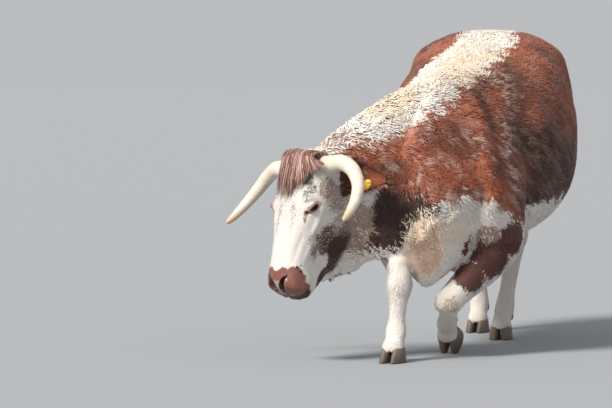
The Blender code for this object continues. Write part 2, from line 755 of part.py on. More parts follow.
def lid_ridge(name, upper, collection):
    """One eyelid: a ridge that arches over the eye from corner to corner."""
    turn = np.linspace(0, math.pi, 9)
    rise = (LID_RISE if upper else -LID_DROP) * np.sin(turn)
    centre = np.array(EYE_CENTRE)
    # Across the lids the eye's opening runs down the face, and its rise is towards the forehead
    out = np.sqrt(EYE_RADIUS**2 - (0.0165 * np.cos(turn))**2 - rise**2)
    path = centre + np.column_stack([out, LID_HALF_LENGTH * np.cos(turn), rise])
    normals = np.column_stack([out / EYE_RADIUS, 0.35 * np.cos(turn), rise / EYE_RADIUS])
    normals /= np.linalg.norm(normals, axis=1)[:, None]
    top, wide = 0.0040, LID_HALF_WIDTH
    section = [(top, 0.0), (0.0015, 0.83 * wide), (top - LID_DEPTH, wide), (top - LID_DEPTH, -wide),
               (0.0015, -0.83 * wide)]
    return swept(name, path, normals, section, 0.55 + 0.45 * np.sin(turn), collection)


def mirrored(thing, name, collection):
    """The right hand twin of a piece made in the head's own frame."""
    made = thing.copy()
    made.data = thing.data.copy()
    made.name = name
    collection.objects.link(made)
    place(made, Matrix.Diagonal((-1, 1, 1, 1)))
    made.data.flip_normals()
    return made


def build_head(chance, parts, cutters, material):
    """The head in its own frame: skull and jaw, lids, sockets, nostrils, the mouth and forelock."""
    head = loft("head", head_rings(23, 24), parts, material)
    pieces = forelock(chance, parts)
    for side in (1, -1):
        for upper in (True, False):
            lid = lid_ridge("lid", upper, parts)
            if side < 0:
                lid.data.transform(Matrix.Diagonal((-1, 1, 1, 1)))
                lid.data.flip_normals()
            pieces.append(lid)
    union(head, pieces)
    for side in (1, -1):
        x, y, z = EYE_CENTRE
        eye = ellipsoid("socket", (side * x, y, z), (EYE_RADIUS + GAP,) * 3, cutters,
                        rings=EYE_RINGS, sides=EYE_SIDES)
        boolean(head, eye, "DIFFERENCE")
        bpy.data.objects.remove(eye)
        x, y, z = NOSTRIL_CENTRE
        nostril = ellipsoid("nostril", (side * x, y, z), NOSTRIL_RADII, cutters, rings=6, sides=8)
        boolean(head, nostril, "DIFFERENCE")
        bpy.data.objects.remove(nostril)
    mouth = mouth_groove(head, cutters)
    boolean(head, mouth, "DIFFERENCE")
    bpy.data.objects.remove(mouth)
    return keep_largest(head)


def lock(name, path, normals, size, collection):
    """A flat lock of hair: it widens from its root, bends along its path and tapers to its tip."""
    width, thickness = size
    share = np.linspace(0, 1, len(path))
    taper = np.clip(0.55 + 1.4 * share, 0, 1) * (1 - share**2.6) + 0.07
    section = [(thickness, 0.0), (0.0, width), (-0.6 * thickness, 0.0), (0.0, -width)]
    return swept(name, path, normals, section, taper, collection)


def forelock(chance, collection):
    """Locks that rise from the poll between the horns and fall forward, longest on the right side."""
    locks = []
    for count, spread, points in FORELOCK:
        for number, place_across in enumerate(np.linspace(-1, 1, count)):
            path = np.array([(0.0, *point) for point in points])
            fall = 1 - 0.17 * place_across + chance.uniform(-0.09, 0.09)
            path[2:, 1] = path[1, 1] + (path[2:, 1] - path[1, 1]) * fall
            fan = 0.040 * place_across - 0.014 + chance.uniform(-0.010, 0.010)
            path[:, 0] = spread * place_across + fan * np.array([0.0, 0.0, 0.3, 0.75, 1.0])
            path[1:, 2] += 0.004 * (number % 2) + chance.uniform(-0.001, 0.002)
            along = np.gradient(path, axis=0)
            along /= np.linalg.norm(along, axis=1)[:, None]
            normals = np.column_stack([1.5 * path[:, 0], along[:, 2], -along[:, 1]])
            normals /= np.linalg.norm(normals, axis=1)[:, None]
            locks.append(lock("forelock", path, normals, FORELOCK_SIZE, collection))
    return locks


def crest_frame(rows, index, side):
    """Point on the top of the neck, a little to one side, with the ways back, left and out."""
    x, y, z, yaw, width, rise, _ = rows[index]
    turn = math.radians(yaw)
    left = np.array([math.cos(turn), math.sin(turn), 0.0])
    slope = math.asin(side / width)
    tops = rows[:, :3] + np.outer(rows[:, 5], (0, 0, 1))
    back = tops[index - 2] - tops[index + 2]
    back /= np.linalg.norm(back)
    up = np.cross(back, left)
    up *= math.copysign(1, up[2])
    point = np.array([x, y, z + rise * math.cos(slope)]) + left * side
    out = up * math.cos(slope) + left * math.sin(slope)
    return point, back, left, out


def crest(chance, collection):
    """Loose tufts along the top of the neck, which part to either side and curl at their tips."""
    locks = []
    rows = between(NECK, 61)
    steps = np.array([-0.14, 0.25, 0.65, 1.0])
    lift = np.array([-0.020, 0.010, 0.022, 0.021])
    sides = (-0.036, 0.010, 0.038, -0.012)
    for number, index in enumerate(range(21, 55, 2)):
        offset = sides[number % 4] + chance.uniform(-0.010, 0.010)
        point, back, left, out = crest_frame(rows, index, offset)
        along = back + left * (12 * offset + chance.uniform(-0.4, 0.4))
        along /= np.linalg.norm(along)
        path = point + np.outer(steps * chance.uniform(0.066, 0.098), along)
        path += np.outer(lift + chance.uniform(-0.002, 0.006) * (steps > 0), out)
        locks.append(lock("crest", path, np.tile(out, (4, 1)), CREST_SIZE, collection))
    return locks


def switch(chance, collection):
    """The tail's tuft: tiers of locks that leave the dock and hang to a point."""
    locks = []
    top, tip = np.array(SWITCH_TOP), np.array(SWITCH_TIP)
    share = np.array([0.0, 0.3, 0.7, 1.0])
    bulge = np.array([0.000, 0.027, 0.030, 0.024])
    for tier, (start, end, count) in enumerate(((0.0, 0.45, 3), (0.22, 0.70, 2), (0.40, 0.88, 2))):
        for number in range(count):
            turn = 2 * math.pi / count * (number + 0.5 * tier) + chance.uniform(-0.25, 0.25)
            out = np.array([math.cos(turn), math.sin(turn), 0.0])
            drop = start + (end - start + chance.uniform(-0.06, 0.0)) * share
            path = top + np.outer(drop, tip - top) + np.outer(bulge, out)
            locks.append(lock("switch", path, np.tile(out, (4, 1)), SWITCH_SIZE, collection))
    return locks


def mouth_groove(head, cutters):
    """A tapered groove round the muzzle from one corner of the mouth to the other."""
    turn = np.linspace(0, math.pi, 17)
    path, normals = [], []
    for angle in turn:
        across = MOUTH_HALF_WIDTH * math.copysign(abs(math.cos(angle)) ** 0.5, math.cos(angle))
        guess = Vector((across, MOUTH_CORNER - MOUTH_REACH * math.sin(angle) ** 0.8, MOUTH_LEVEL))
        found, near, normal, _ = head.closest_point_on_mesh(guess)
        path.append(near)
        normals.append(Vector((normal.x, normal.y, 0)).normalized())
    out, deep, narrow = 0.006, -MOUTH_DEPTH, 0.0006
    section = [(out, MOUTH_GAPE), (deep, narrow), (deep, -narrow), (out, -MOUTH_GAPE)]
    taper = 0.35 + 0.65 * np.sin(turn) ** 0.4
    return swept("mouth", path, normals, section, taper, cutters)


def build_horn(parts, material):
    """The left horn: a tapering tube from the poll outwards, then down and forward."""
    rows = between([(*p, 0) for p in HORN_PATH], 15)[:, :3]
    share = np.linspace(0, 1, len(rows))
    radius = HORN_TIP_RADIUS + (HORN_BASE_RADIUS - HORN_TIP_RADIUS) * (1 - share) ** 0.6
    along = np.gradient(rows, axis=0)
    along /= np.linalg.norm(along, axis=1)[:, None]
    turn = np.arange(HORN_SIDES) * 2 * math.pi / HORN_SIDES
    rings = []
    for centre, direction, size in zip(rows, along, radius):
        side = np.cross(direction, (0, 0, 1.0))
        side /= np.linalg.norm(side)
        other = np.cross(direction, side)
        rings.append(centre + size * (np.outer(np.cos(turn), side) + np.outer(np.sin(turn), other)))
    return loft("horn_left", rings, parts, material)


def ear_point(share, across):
    """Point on the ear's inner face, and the face's normal: a funnel that opens into a leaf."""
    along, up = np.array(EAR_ALONG), np.array(EAR_UP)
    along = along / np.linalg.norm(along)
    up = up - up.dot(along) * along
    up /= np.linalg.norm(up)
    front = np.cross(along, up)
    swell = math.sin(math.pi * min(share, 1) ** 0.85) ** 0.9
    width = EAR_HALF_WIDTH * (EAR_ROOT_WIDTH + (1 - EAR_ROOT_WIDTH) * swell)
    width *= 1 - EAR_TIP_LOSS * max(share - 0.55, 0) / 0.45
    spread = math.radians(EAR_ROOT_ARC - (EAR_ROOT_ARC - EAR_OPEN_ARC) * min(share * 2.2, 1))
    radius = width / math.sin(min(spread, math.pi / 2))
    angle = across * spread
    out = up * math.sin(angle) - front * (math.cos(angle) - 1)
    normal = front * math.cos(angle) - up * math.sin(angle)
    droop = -EAR_DROOP * share**2
    centre = np.array(EAR_ROOT) + along * EAR_LENGTH * share + up * droop - front * radius * 0.6
    return centre + radius * out, normal


def build_ear(parts, material):
    """The left ear, a cupped leaf as thick as skin and gristle, thinner to its edge."""
    shares = np.array([-0.10, 0.0, 0.10, 0.22, 0.36, 0.50, 0.64, 0.77, 0.88, 0.955, 0.995])
    steps = np.linspace(-1, 1, 8)
    rings = []
    for share in shares:
        inner, outer = [], []
        for step in steps:
            point, normal = ear_point(max(share, 0.0), step)
            if share < 0:
                point = point + np.array(EAR_ALONG) * EAR_LENGTH * share
            depth = EAR_THICKNESS * (1 - 0.65 * abs(step) ** 2) * (1 - 0.5 * max(share, 0))
            inner.append(point)
            outer.append(point - normal * depth)
        rings.append(np.array(inner + outer[::-1]))
    count = len(steps)
    return loft("ear_left", rings, parts, material, range(count, 2 * count))


def build_tag(head_to_world, parts, material):
    """A blank flag tag: a panel on the ear's inner face, and the stud behind it."""
    point, normal = ear_point(TAG_ALONG_EAR, TAG_ACROSS_EAR)
    normal = Vector(normal).normalized()
    down = -Vector(EAR_UP).normalized()
    down = (down - down.dot(normal) * normal).normalized()
    side = normal.cross(down)
    turned = Matrix((side, down, normal)).transposed().to_4x4()
    shape = bmesh.new()
    bmesh.ops.create_cube(shape, size=1.0)
    bmesh.ops.scale(shape, vec=(TAG_WIDTH, TAG_HEIGHT, TAG_THICKNESS), verts=shape.verts)
    bmesh.ops.translate(shape, vec=(0, TAG_HEIGHT * 0.36, 0.004 + TAG_THICKNESS / 2), verts=shape.verts)
    edges = [e for e in shape.edges if abs(e.verts[0].co.z - e.verts[1].co.z) > 0.001]
    bmesh.ops.bevel(shape, geom=edges, offset=0.006, segments=2, profile=0.5, affect="EDGES")
    mesh = bpy.data.meshes.new("ear_tag_panel")
    shape.to_mesh(mesh)
    shape.free()
    panel = bpy.data.objects.new("ear_tag_panel", mesh)
    parts.objects.link(panel)
    mesh.materials.append(material)
    pieces = []
    for reach in (1, -1):
        shape = bmesh.new()
        bmesh.ops.create_cone(shape, cap_ends=True, segments=10, radius1=TAG_STEM_RADIUS,
                              radius2=TAG_STEM_RADIUS, depth=TAG_STEM_LENGTH)
        middle = 0.002 if reach > 0 else -EAR_THICKNESS - 0.001
        bmesh.ops.translate(shape, vec=(0, 0, middle), verts=shape.verts)
        mesh = bpy.data.meshes.new("stem")
        shape.to_mesh(mesh)
        shape.free()
        stem = bpy.data.objects.new("stem", mesh)
        parts.objects.link(stem)
        pieces.append(stem)
    union(panel, [pieces[0]])
    stud = pieces[1]
    stud.name = "ear_tag_stud"
    stud.data.materials.append(material)
    for thing in (panel, stud):
        place(thing, head_to_world @ Matrix.Translation(point) @ turned)
    return panel, stud


def foot_matrix(foot):
    """From a foot's own frame, with its coronet's centre at the origin and the toe along -Y."""
    turned = Matrix.Rotation(math.radians(foot["yaw"]), 4, "Z") @ Matrix.Rotation(
        math.radians(foot["pitch"]), 4, "X")
    return Matrix.Translation(foot["at"]) @ turned


def build_claw(name, side, foot, parts, cutters, material):
    """One claw of a cloven foot: a sloping wall, a flat sole, and the coronet's level top."""
    turn = np.arange(CLAW_SIDES) * 2 * math.pi / CLAW_SIDES
    cosine, sine = np.cos(turn), np.sin(turn)
    ahead = np.clip(-sine, 0, 1)
    rings = []
    for low in CLAW_LEVELS:
        edge = SOLE_EDGE if low == 1.0 else 0
        toe = CORONET_TOE + (CLAW_TOE - CORONET_TOE) * low**0.9 - edge
        heel = CORONET_HEEL + (CLAW_HEEL - CORONET_HEEL) * math.sin(math.pi * 0.5 * low) - edge
        width = CLAW_HALF_WIDTH * (0.84 + 0.16 * low) - 0.5 * edge
        forward = np.where(sine < 0, toe * np.abs(sine) ** 0.95 * -1, heel * np.abs(sine) ** 0.8)
        drawing_in = np.where(cosine * side > 0, OUTER_DRAWING_IN, INNER_DRAWING_IN)
        across = side * CLAW_OFFSET * (0.90 + 0.10 * low) + width * cosine * (1 - drawing_in * ahead**2)
        # The toe turns in a little
        across = across - side * 0.004 * ahead**2 * low
        level = np.full(CLAW_SIDES, -low * CLAW_HEIGHT - GAP)
        rings.append(np.column_stack([across, forward, level]))
    claw = loft(name, rings, parts, material)
    place(claw, foot_matrix(foot))
    floor = box_beyond("floor", (foot["at"][0], foot["at"][1], 0), (0, 0, -1), 0.3, 0.2, cutters)
    boolean(claw, floor, "DIFFERENCE")
    bpy.data.objects.remove(floor)
    return keep_largest(claw)


def build_dewclaw(name, side, centre, rear, left, parts, material):
    """A small blunt claw behind the fetlock."""
    claw = ellipsoid(name, (0, 0, 0), DEWCLAW_RADII, parts, material, rings=5, sides=6)
    down = np.cross(left, rear)
    turned = Matrix((Vector(left), Vector(rear), Vector(down))).transposed().to_4x4()
    across, back, lower = DEWCLAW_OFFSET
    point = np.array(centre) + left * side * across + rear * back - np.array((0, 0, lower))
    return place(claw, Matrix.Translation(point) @ turned)


def build_leg(name, spec, parts, cutters, flesh, hoof):
    """A leg below its cut: two lengths that meet at the knee or hock, claws and dewclaws."""
    foot = spec["foot"]
    matrix = foot_matrix(foot)
    down = np.array(-(matrix.to_3x3() @ Vector((0, 0, 1))))
    if foot["pitch"]:
        upper_rings = limb_rings(spec["upper"], 13, LEG_SIDES, spec["yaw"])
        lower_rings = limb_rings(spec["lower"], 13, LEG_SIDES, foot["yaw"], down)
        upper = loft(name + "_upper", upper_rings, parts, flesh)
        lower = loft(name + "_lower", lower_rings, parts, flesh)
        fit_against(lower, [upper], cutters)
    else:
        stations = spec["upper"] + spec["lower"][1:]
        count = 2 * (len(stations) - 1) + 1
        rings = limb_rings(stations, count, LEG_SIDES, spec["yaw"], down)
        split = 2 * (len(spec["upper"]) - 1)
        normal = ring_normal(rings[split], rings[split + 1].mean(0) - rings[split].mean(0))
        upper_rings, lower_rings = rings[:split + 1].copy(), rings[split:].copy()
        upper_rings[-1] -= normal * GAP / 2
        lower_rings[0] += normal * GAP / 2
        upper = loft(name + "_upper", upper_rings, parts, flesh)
        lower = loft(name + "_lower", lower_rings, parts, flesh)
    fetlock = lower_rings[-5].mean(0)
    rear = lower_rings[-5][len(lower_rings[0]) // 4] - fetlock
    left = lower_rings[-5][0] - fetlock
    left /= np.linalg.norm(left)
    rear -= rear.dot(left) * left
    rear /= np.linalg.norm(rear)
    for side, word in ((1, "left"), (-1, "right")):
        build_claw(f"claw_{name}_{word}", side, foot, parts, cutters, hoof)
        dew = build_dewclaw(f"dewclaw_{name}_{word}", side, fetlock, rear, left, parts, hoof)
        fit_against(dew, [lower], cutters)
    return upper_rings


def build_tail(chance, parts, material):
    """The dock, which hangs from the tail head, and below it the switch with its locks."""
    rows = between(TAIL, 17)
    centres, radius = rows[:, :3], rows[:, 3]
    along = np.gradient(centres, axis=0)
    along /= np.linalg.norm(along, axis=1)[:, None]
    turn = np.arange(TAIL_SIDES) * 2 * math.pi / TAIL_SIDES
    rings = []
    for centre, direction, size in zip(centres, along, radius):
        rear = np.cross(direction, (1.0, 0, 0))
        rear /= np.linalg.norm(rear)
        left = np.cross(rear, direction)
        rings.append(centre + size * (np.outer(np.cos(turn), left) + np.outer(np.sin(turn), rear)))
    # The first ring at most one step above the topmost lock
    step = abs(centres[-1, 2] - centres[-2, 2])
    split = int(np.argmax(centres[:, 2] < SWITCH_TOP[2] + 1.3 * step))
    upper, lower = np.array(rings[:split + 1]), np.array(rings[split:])
    lower[0] += along[split] * GAP
    tail = loft("tail", upper, parts, material)
    tuft = loft("tail_switch", lower, parts, material)
    return tail, union(tuft, switch(chance, parts))


def build_core(chance, parts, cutters, flesh, legs):
    """Torso and neck: trunk, neck, dewlap and upper limbs fused, thinned out and parted."""
    pieces = [
        loft("trunk", upright_rings(TRUNK, 53, 40), parts),
        loft("neck_flesh", yawed_rings(NECK, 25, 32, 2.1), parts),
        loft("dewlap", yawed_rings(DEWLAP, 37, 24, 2.0, 0.55), parts),
    ]
    for name, stations in UPPER_LIMBS.items():
        pieces.append(loft(name, limb_rings(stations, 19, UPPER_LIMB_SIDES, LEGS[name]["yaw"]), parts))
    for upper, lower, across, depth in MUSCLES:
        for side in (1, -1):
            pieces.append(muscle(upper, lower, across, depth, side, parts))
    core = fuse("core", pieces, parts, CORE_CELL, CORE_SMOOTHING)
    thin = core.modifiers.new("thin", "DECIMATE")
    thin.ratio = CORE_TRIANGLES / sum(len(f.vertices) - 2 for f in core.data.polygons)
    apply_modifiers(core)
    for rings in legs.values():
        cutter = limb_cutter(rings, 1.35, cutters)
        boolean(core, cutter, "DIFFERENCE")
        bpy.data.objects.remove(cutter)
    keep_largest(core)
    torso, neck = core, core.copy()
    neck.data = core.data.copy()
    parts.objects.link(neck)
    torso.name, neck.name = "torso", "neck"
    union(neck, crest(chance, parts))
    forward = Vector(NECK_CUT_NORMAL).normalized()
    trim(torso, NECK_CUT, forward, 0.6, 0.9, cutters, GAP / 2)
    trim(neck, NECK_CUT, -forward, 0.9, 2.2, cutters, GAP / 2)
    for thing in (torso, neck):
        thing.data.materials.clear()
        thing.data.materials.append(flesh)
    return torso, neck


def smooth_shading(thing):
    thing.data.shade_smooth()
    thing.data.set_sharp_from_angle(angle=math.radians(50))


def main():
    clear_scene()
    parts, cutters = new_collection("english_longhorn"), new_collection("cutters")
    flesh = finish_material("red_coat", RED, 0.75)
    cream = finish_material("cream_coat", CREAM, 0.75)
    dark = finish_material("dark_coat", DARK_RED, 0.75)
    horn = finish_material("horn", HORN_COLOUR, 0.4)
    hoof = finish_material("hoof", HOOF_COLOUR, 0.5)
    glossy = finish_material("eye", EYE_COLOUR, 0.08)
    yellow = finish_material("tag", TAG_YELLOW, 0.35)

    chance = np.random.default_rng(HAIR_SEED)
    to_world = head_matrix()
    head = build_head(chance, parts, cutters, cream)
    horn_left = build_horn(parts, horn)
    ear_left = build_ear(parts, dark)
    horn_right = mirrored(horn_left, "horn_right", parts)
    droop = Matrix.Translation((0, -RIGHT_HORN_DROP, 0)) @ Matrix.Rotation(RIGHT_HORN_DROOP, 4, "Z")
    place(horn_right, droop)
    ear_right = mirrored(ear_left, "ear_right", parts)
    for side, word in ((1, "left"), (-1, "right")):
        x, y, z = EYE_CENTRE
        eye = ellipsoid("eye_" + word, (side * x, y, z), (EYE_RADIUS,) * 3, parts, glossy,
                        EYE_RINGS, EYE_SIDES)
        place(eye, to_world)
    for thing in (head, horn_left, horn_right, ear_left, ear_right):
        place(thing, to_world)
    grown = (horn_left, horn_right, ear_left, ear_right)
    for thing in grown:
        fit_against(thing, [head], cutters)
    panel, stud = build_tag(to_world, parts, yellow)
    fit_against(panel, [ear_left], cutters)
    fit_against(stud, [ear_left], cutters)

    legs = {name: build_leg(name, spec, parts, cutters, cream, hoof) for name, spec in LEGS.items()}
    torso, neck = build_core(chance, parts, cutters, flesh, legs)
    fit_against(neck, [head, *grown, panel, stud], cutters)
    tail, _ = build_tail(chance, parts, dark)
    fit_against(tail, [torso], cutters)

    solids = list(parts.objects)
    low = min((thing.matrix_world @ v.co).z for thing in solids for v in thing.data.vertices)
    sides = [[(v.co.x, v.co.y) for v in thing.data.vertices] for thing in solids]
    flat = np.vstack([np.array(side) for side in sides])
    middle = (flat.min(0) + flat.max(0)) / 2
    for thing in solids:
        place(thing, Matrix.Translation((-middle[0], -middle[1], -low)))
        smooth_shading(thing)


main()
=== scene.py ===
"""The looks of a life-size English longhorn: one skin, its coat in tufts, eyes, horns, claws and ear tag.

The animal's own frame faces -Y, its left side is +X and its floor is z = 0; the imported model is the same,
moved by SHIFT. Sizes are in metres, colours are linear.
"""

import math

import bpy
import numpy as np
from mathutils import Matrix, Vector


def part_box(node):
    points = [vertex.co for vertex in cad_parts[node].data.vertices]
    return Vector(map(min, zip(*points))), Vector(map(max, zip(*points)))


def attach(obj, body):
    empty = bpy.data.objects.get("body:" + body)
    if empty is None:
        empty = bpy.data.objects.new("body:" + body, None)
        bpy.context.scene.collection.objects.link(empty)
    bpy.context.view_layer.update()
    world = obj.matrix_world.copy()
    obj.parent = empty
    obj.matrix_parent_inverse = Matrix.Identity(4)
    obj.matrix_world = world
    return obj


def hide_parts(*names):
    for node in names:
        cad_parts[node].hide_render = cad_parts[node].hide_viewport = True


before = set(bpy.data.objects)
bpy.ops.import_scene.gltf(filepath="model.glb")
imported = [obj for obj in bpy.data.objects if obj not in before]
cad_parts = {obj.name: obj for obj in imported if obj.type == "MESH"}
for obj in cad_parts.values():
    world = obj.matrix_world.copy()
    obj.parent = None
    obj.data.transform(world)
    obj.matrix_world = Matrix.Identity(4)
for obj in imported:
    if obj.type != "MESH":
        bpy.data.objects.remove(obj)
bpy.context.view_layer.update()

# Frame of the head: the poll, how far the head turns to its right, and how far the face points down
POLL = (-0.467, -0.860, 0.818)
HEAD_YAW = math.radians(-35)
FACE_PITCH = math.radians(70)

# Eyes, in the head's own frame (left eye; the right one mirrors it)
EYE_CENTRE = (0.110, -0.188, 0.014)
EYE_RADIUS = 0.0205

# Horns, along the left horn: out from the poll, then down and forward
HORN_BASE_RADIUS = 0.040
HORN_TIP_RADIUS = 0.006
HORN_STEPS = 150
HORN_SIDES = 48
# Radians of the wave that rings a horn
HORN_RINGS = 150
HORN_PATH = (
    (0.055, 0.000, -0.004),
    (0.125, 0.006, -0.006),
    (0.200, 0.014, -0.007),
    (0.262, -0.013, -0.019),
    (0.312, -0.071, -0.022),
    (0.345, -0.145, -0.002),
    (0.362, -0.207, 0.027),
    (0.370, -0.249, 0.053),
)

# Ears, in the head's own frame (left ear): root, direction, and the way that its upper edge lies
EAR_ROOT = (0.094, -0.024, -0.079)
EAR_ALONG = (0.880, 0.222, -0.419)
EAR_UP = (0.000, 0.939, 0.342)
EAR_LENGTH = 0.215
EAR_HALF_WIDTH = 0.062
EAR_THICKNESS = 0.008

# Ear tag, blank: its size, and its place along the ear and across it
TAG_WIDTH = 0.036
TAG_HEIGHT = 0.050
TAG_ALONG_EAR = 0.58
TAG_ACROSS_EAR = -0.35
# Profiles of the button on its face and of the stud behind the ear: radius, and height over the ear
BUTTON_PROFILE = ((0.0002, 0.003), (0.0065, 0.003), (0.0085, 0.0065), (0.0095, 0.0078), (0.0092, 0.0090),
                  (0.0072, 0.0098), (0.0036, 0.0104), (0.0002, 0.0106))
STUD_PROFILE = ((0.0002, -0.003), (0.0036, -0.004), (0.0040, -0.0085), (0.0105, -0.0090), (0.0118, -0.0100),
                (0.0112, -0.0112), (0.0060, -0.0122), (0.0040, -0.0150), (0.0002, -0.0165))

# Claws, two to a foot: their height at the coronet, the sole's reach forward and back of the
# coronet's centre, half width, and how far each stands from the middle of the foot
CLAW_HEIGHT = 0.062
CLAW_TOE = 0.082
CLAW_HEEL = 0.046
CLAW_HALF_WIDTH = 0.026
CLAW_OFFSET = 0.0275
# The claws' reach forward and back at the coronet, and the radians of the wave of their growth rings
CORONET_TOE = 0.036
CORONET_HEEL = 0.040
CLAW_RINGS = 46

# Trunk stations from the rump forward: y, centre x, half width, top z, bottom z, z of the widest
# level, squareness of the section, and how much its top is drawn in
TRUNK = (
    (1.000, 0.008, 0.050, 1.190, 0.980, 1.090, 2.0, 0.00),
    (0.978, 0.008, 0.150, 1.265, 0.860, 1.080, 2.1, 0.00),
    (0.905, -0.002, 0.255, 1.325, 0.770, 1.060, 2.4, 0.00),
    (0.790, -0.008, 0.327, 1.370, 0.710, 1.030, 2.7, 0.00),
    (0.650, -0.008, 0.377, 1.394, 0.670, 0.990, 2.8, 0.00),
    (0.500, 0.006, 0.403, 1.384, 0.600, 0.940, 2.7, 0.00),
    (0.340, 0.026, 0.420, 1.338, 0.520, 0.890, 2.6, 0.00),
    (0.140, 0.028, 0.425, 1.280, 0.465, 0.850, 2.4, 0.05),
    (-0.080, 0.020, 0.390, 1.232, 0.450, 0.815, 2.3, 0.12),
    (-0.250, 0.008, 0.330, 1.205, 0.445, 0.790, 2.1, 0.26),
    (-0.400, -0.005, 0.285, 1.182, 0.430, 0.770, 2.1, 0.34),
    (-0.540, -0.025, 0.245, 1.120, 0.415, 0.745, 2.0, 0.28),
    (-0.650, -0.045, 0.175, 1.010, 0.430, 0.710, 2.0, 0.20),
    (-0.720, -0.055, 0.085, 0.900, 0.500, 0.690, 2.0, 0.10),
)

# Neck stations from inside the chest to the head: centre x, y, z, yaw in degrees, half width,
# rise to the crest, drop to the throat
NECK = (
    (-0.010, -0.340, 0.810, 0, 0.230, 0.350, 0.330),
    (-0.070, -0.475, 0.800, -16, 0.200, 0.345, 0.320),
    (-0.165, -0.575, 0.790, -28, 0.165, 0.305, 0.290),
    (-0.260, -0.665, 0.775, -34, 0.138, 0.252, 0.255),
    (-0.345, -0.745, 0.755, -36, 0.118, 0.198, 0.215),
    (-0.405, -0.810, 0.740, -36, 0.104, 0.150, 0.185),
    (-0.445, -0.860, 0.735, -36, 0.085, 0.105, 0.150),
)

# Tail stations from the tail head down: centre x, y, z and radius; and the ends of its switch
TAIL = (
    (0.010, 0.900, 1.250, 0.036),
    (0.010, 0.985, 1.236, 0.036),
    (0.011, 1.034, 1.170, 0.031),
    (0.013, 1.048, 1.050, 0.025),
    (0.016, 1.048, 0.900, 0.021),
    (0.020, 1.043, 0.760, 0.018),
    (0.024, 1.038, 0.640, 0.022),
    (0.029, 1.033, 0.520, 0.024),
    (0.033, 1.028, 0.410, 0.017),
    (0.036, 1.024, 0.330, 0.004),
)

SWITCH_TOP = (0.019, 1.044, 0.790)
SWITCH_TIP = (0.036, 1.024, 0.330)

# Muscles under the coat, on both sides: upper and lower end, half width across and half depth
MUSCLES = (
    ((0.110, -0.350, 1.100), (0.236, -0.530, 0.740), 0.058, 0.125),
    ((0.250, -0.520, 0.760), (0.226, -0.380, 0.560), 0.066, 0.105),
    ((0.215, 0.640, 1.200), (0.256, 0.810, 0.830), 0.105, 0.180),
    ((0.110, 0.930, 1.170), (0.150, 0.900, 0.760), 0.085, 0.085),
)

# The right horn is set a little lower than the left one, and droops
RIGHT_HORN_DROP = 0.030
RIGHT_HORN_DROOP = math.radians(1.5)

# Dewlap, a fold that hangs from jaw to brisket: centre, yaw, half width, rise, drop
DEWLAP = (
    (-0.456, -0.832, 0.450, -36, 0.030, 0.060, 0.138),
    (-0.432, -0.804, 0.490, -36, 0.040, 0.100, 0.170),
    (-0.405, -0.778, 0.500, -36, 0.048, 0.130, 0.170),
    (-0.375, -0.752, 0.500, -36, 0.055, 0.160, 0.150),
    (-0.330, -0.715, 0.510, -36, 0.062, 0.180, 0.146),
    (-0.260, -0.692, 0.520, -34, 0.066, 0.190, 0.106),
    (-0.180, -0.682, 0.520, -28, 0.074, 0.190, 0.100),
    (-0.115, -0.665, 0.510, -22, 0.086, 0.190, 0.110),
    (-0.065, -0.642, 0.490, -16, 0.105, 0.180, 0.130),
    (-0.035, -0.600, 0.460, -8, 0.120, 0.170, 0.160),
    (-0.010, -0.515, 0.450, 0, 0.140, 0.150, 0.120),
    (0.000, -0.410, 0.480, 0, 0.120, 0.100, 0.055),
)

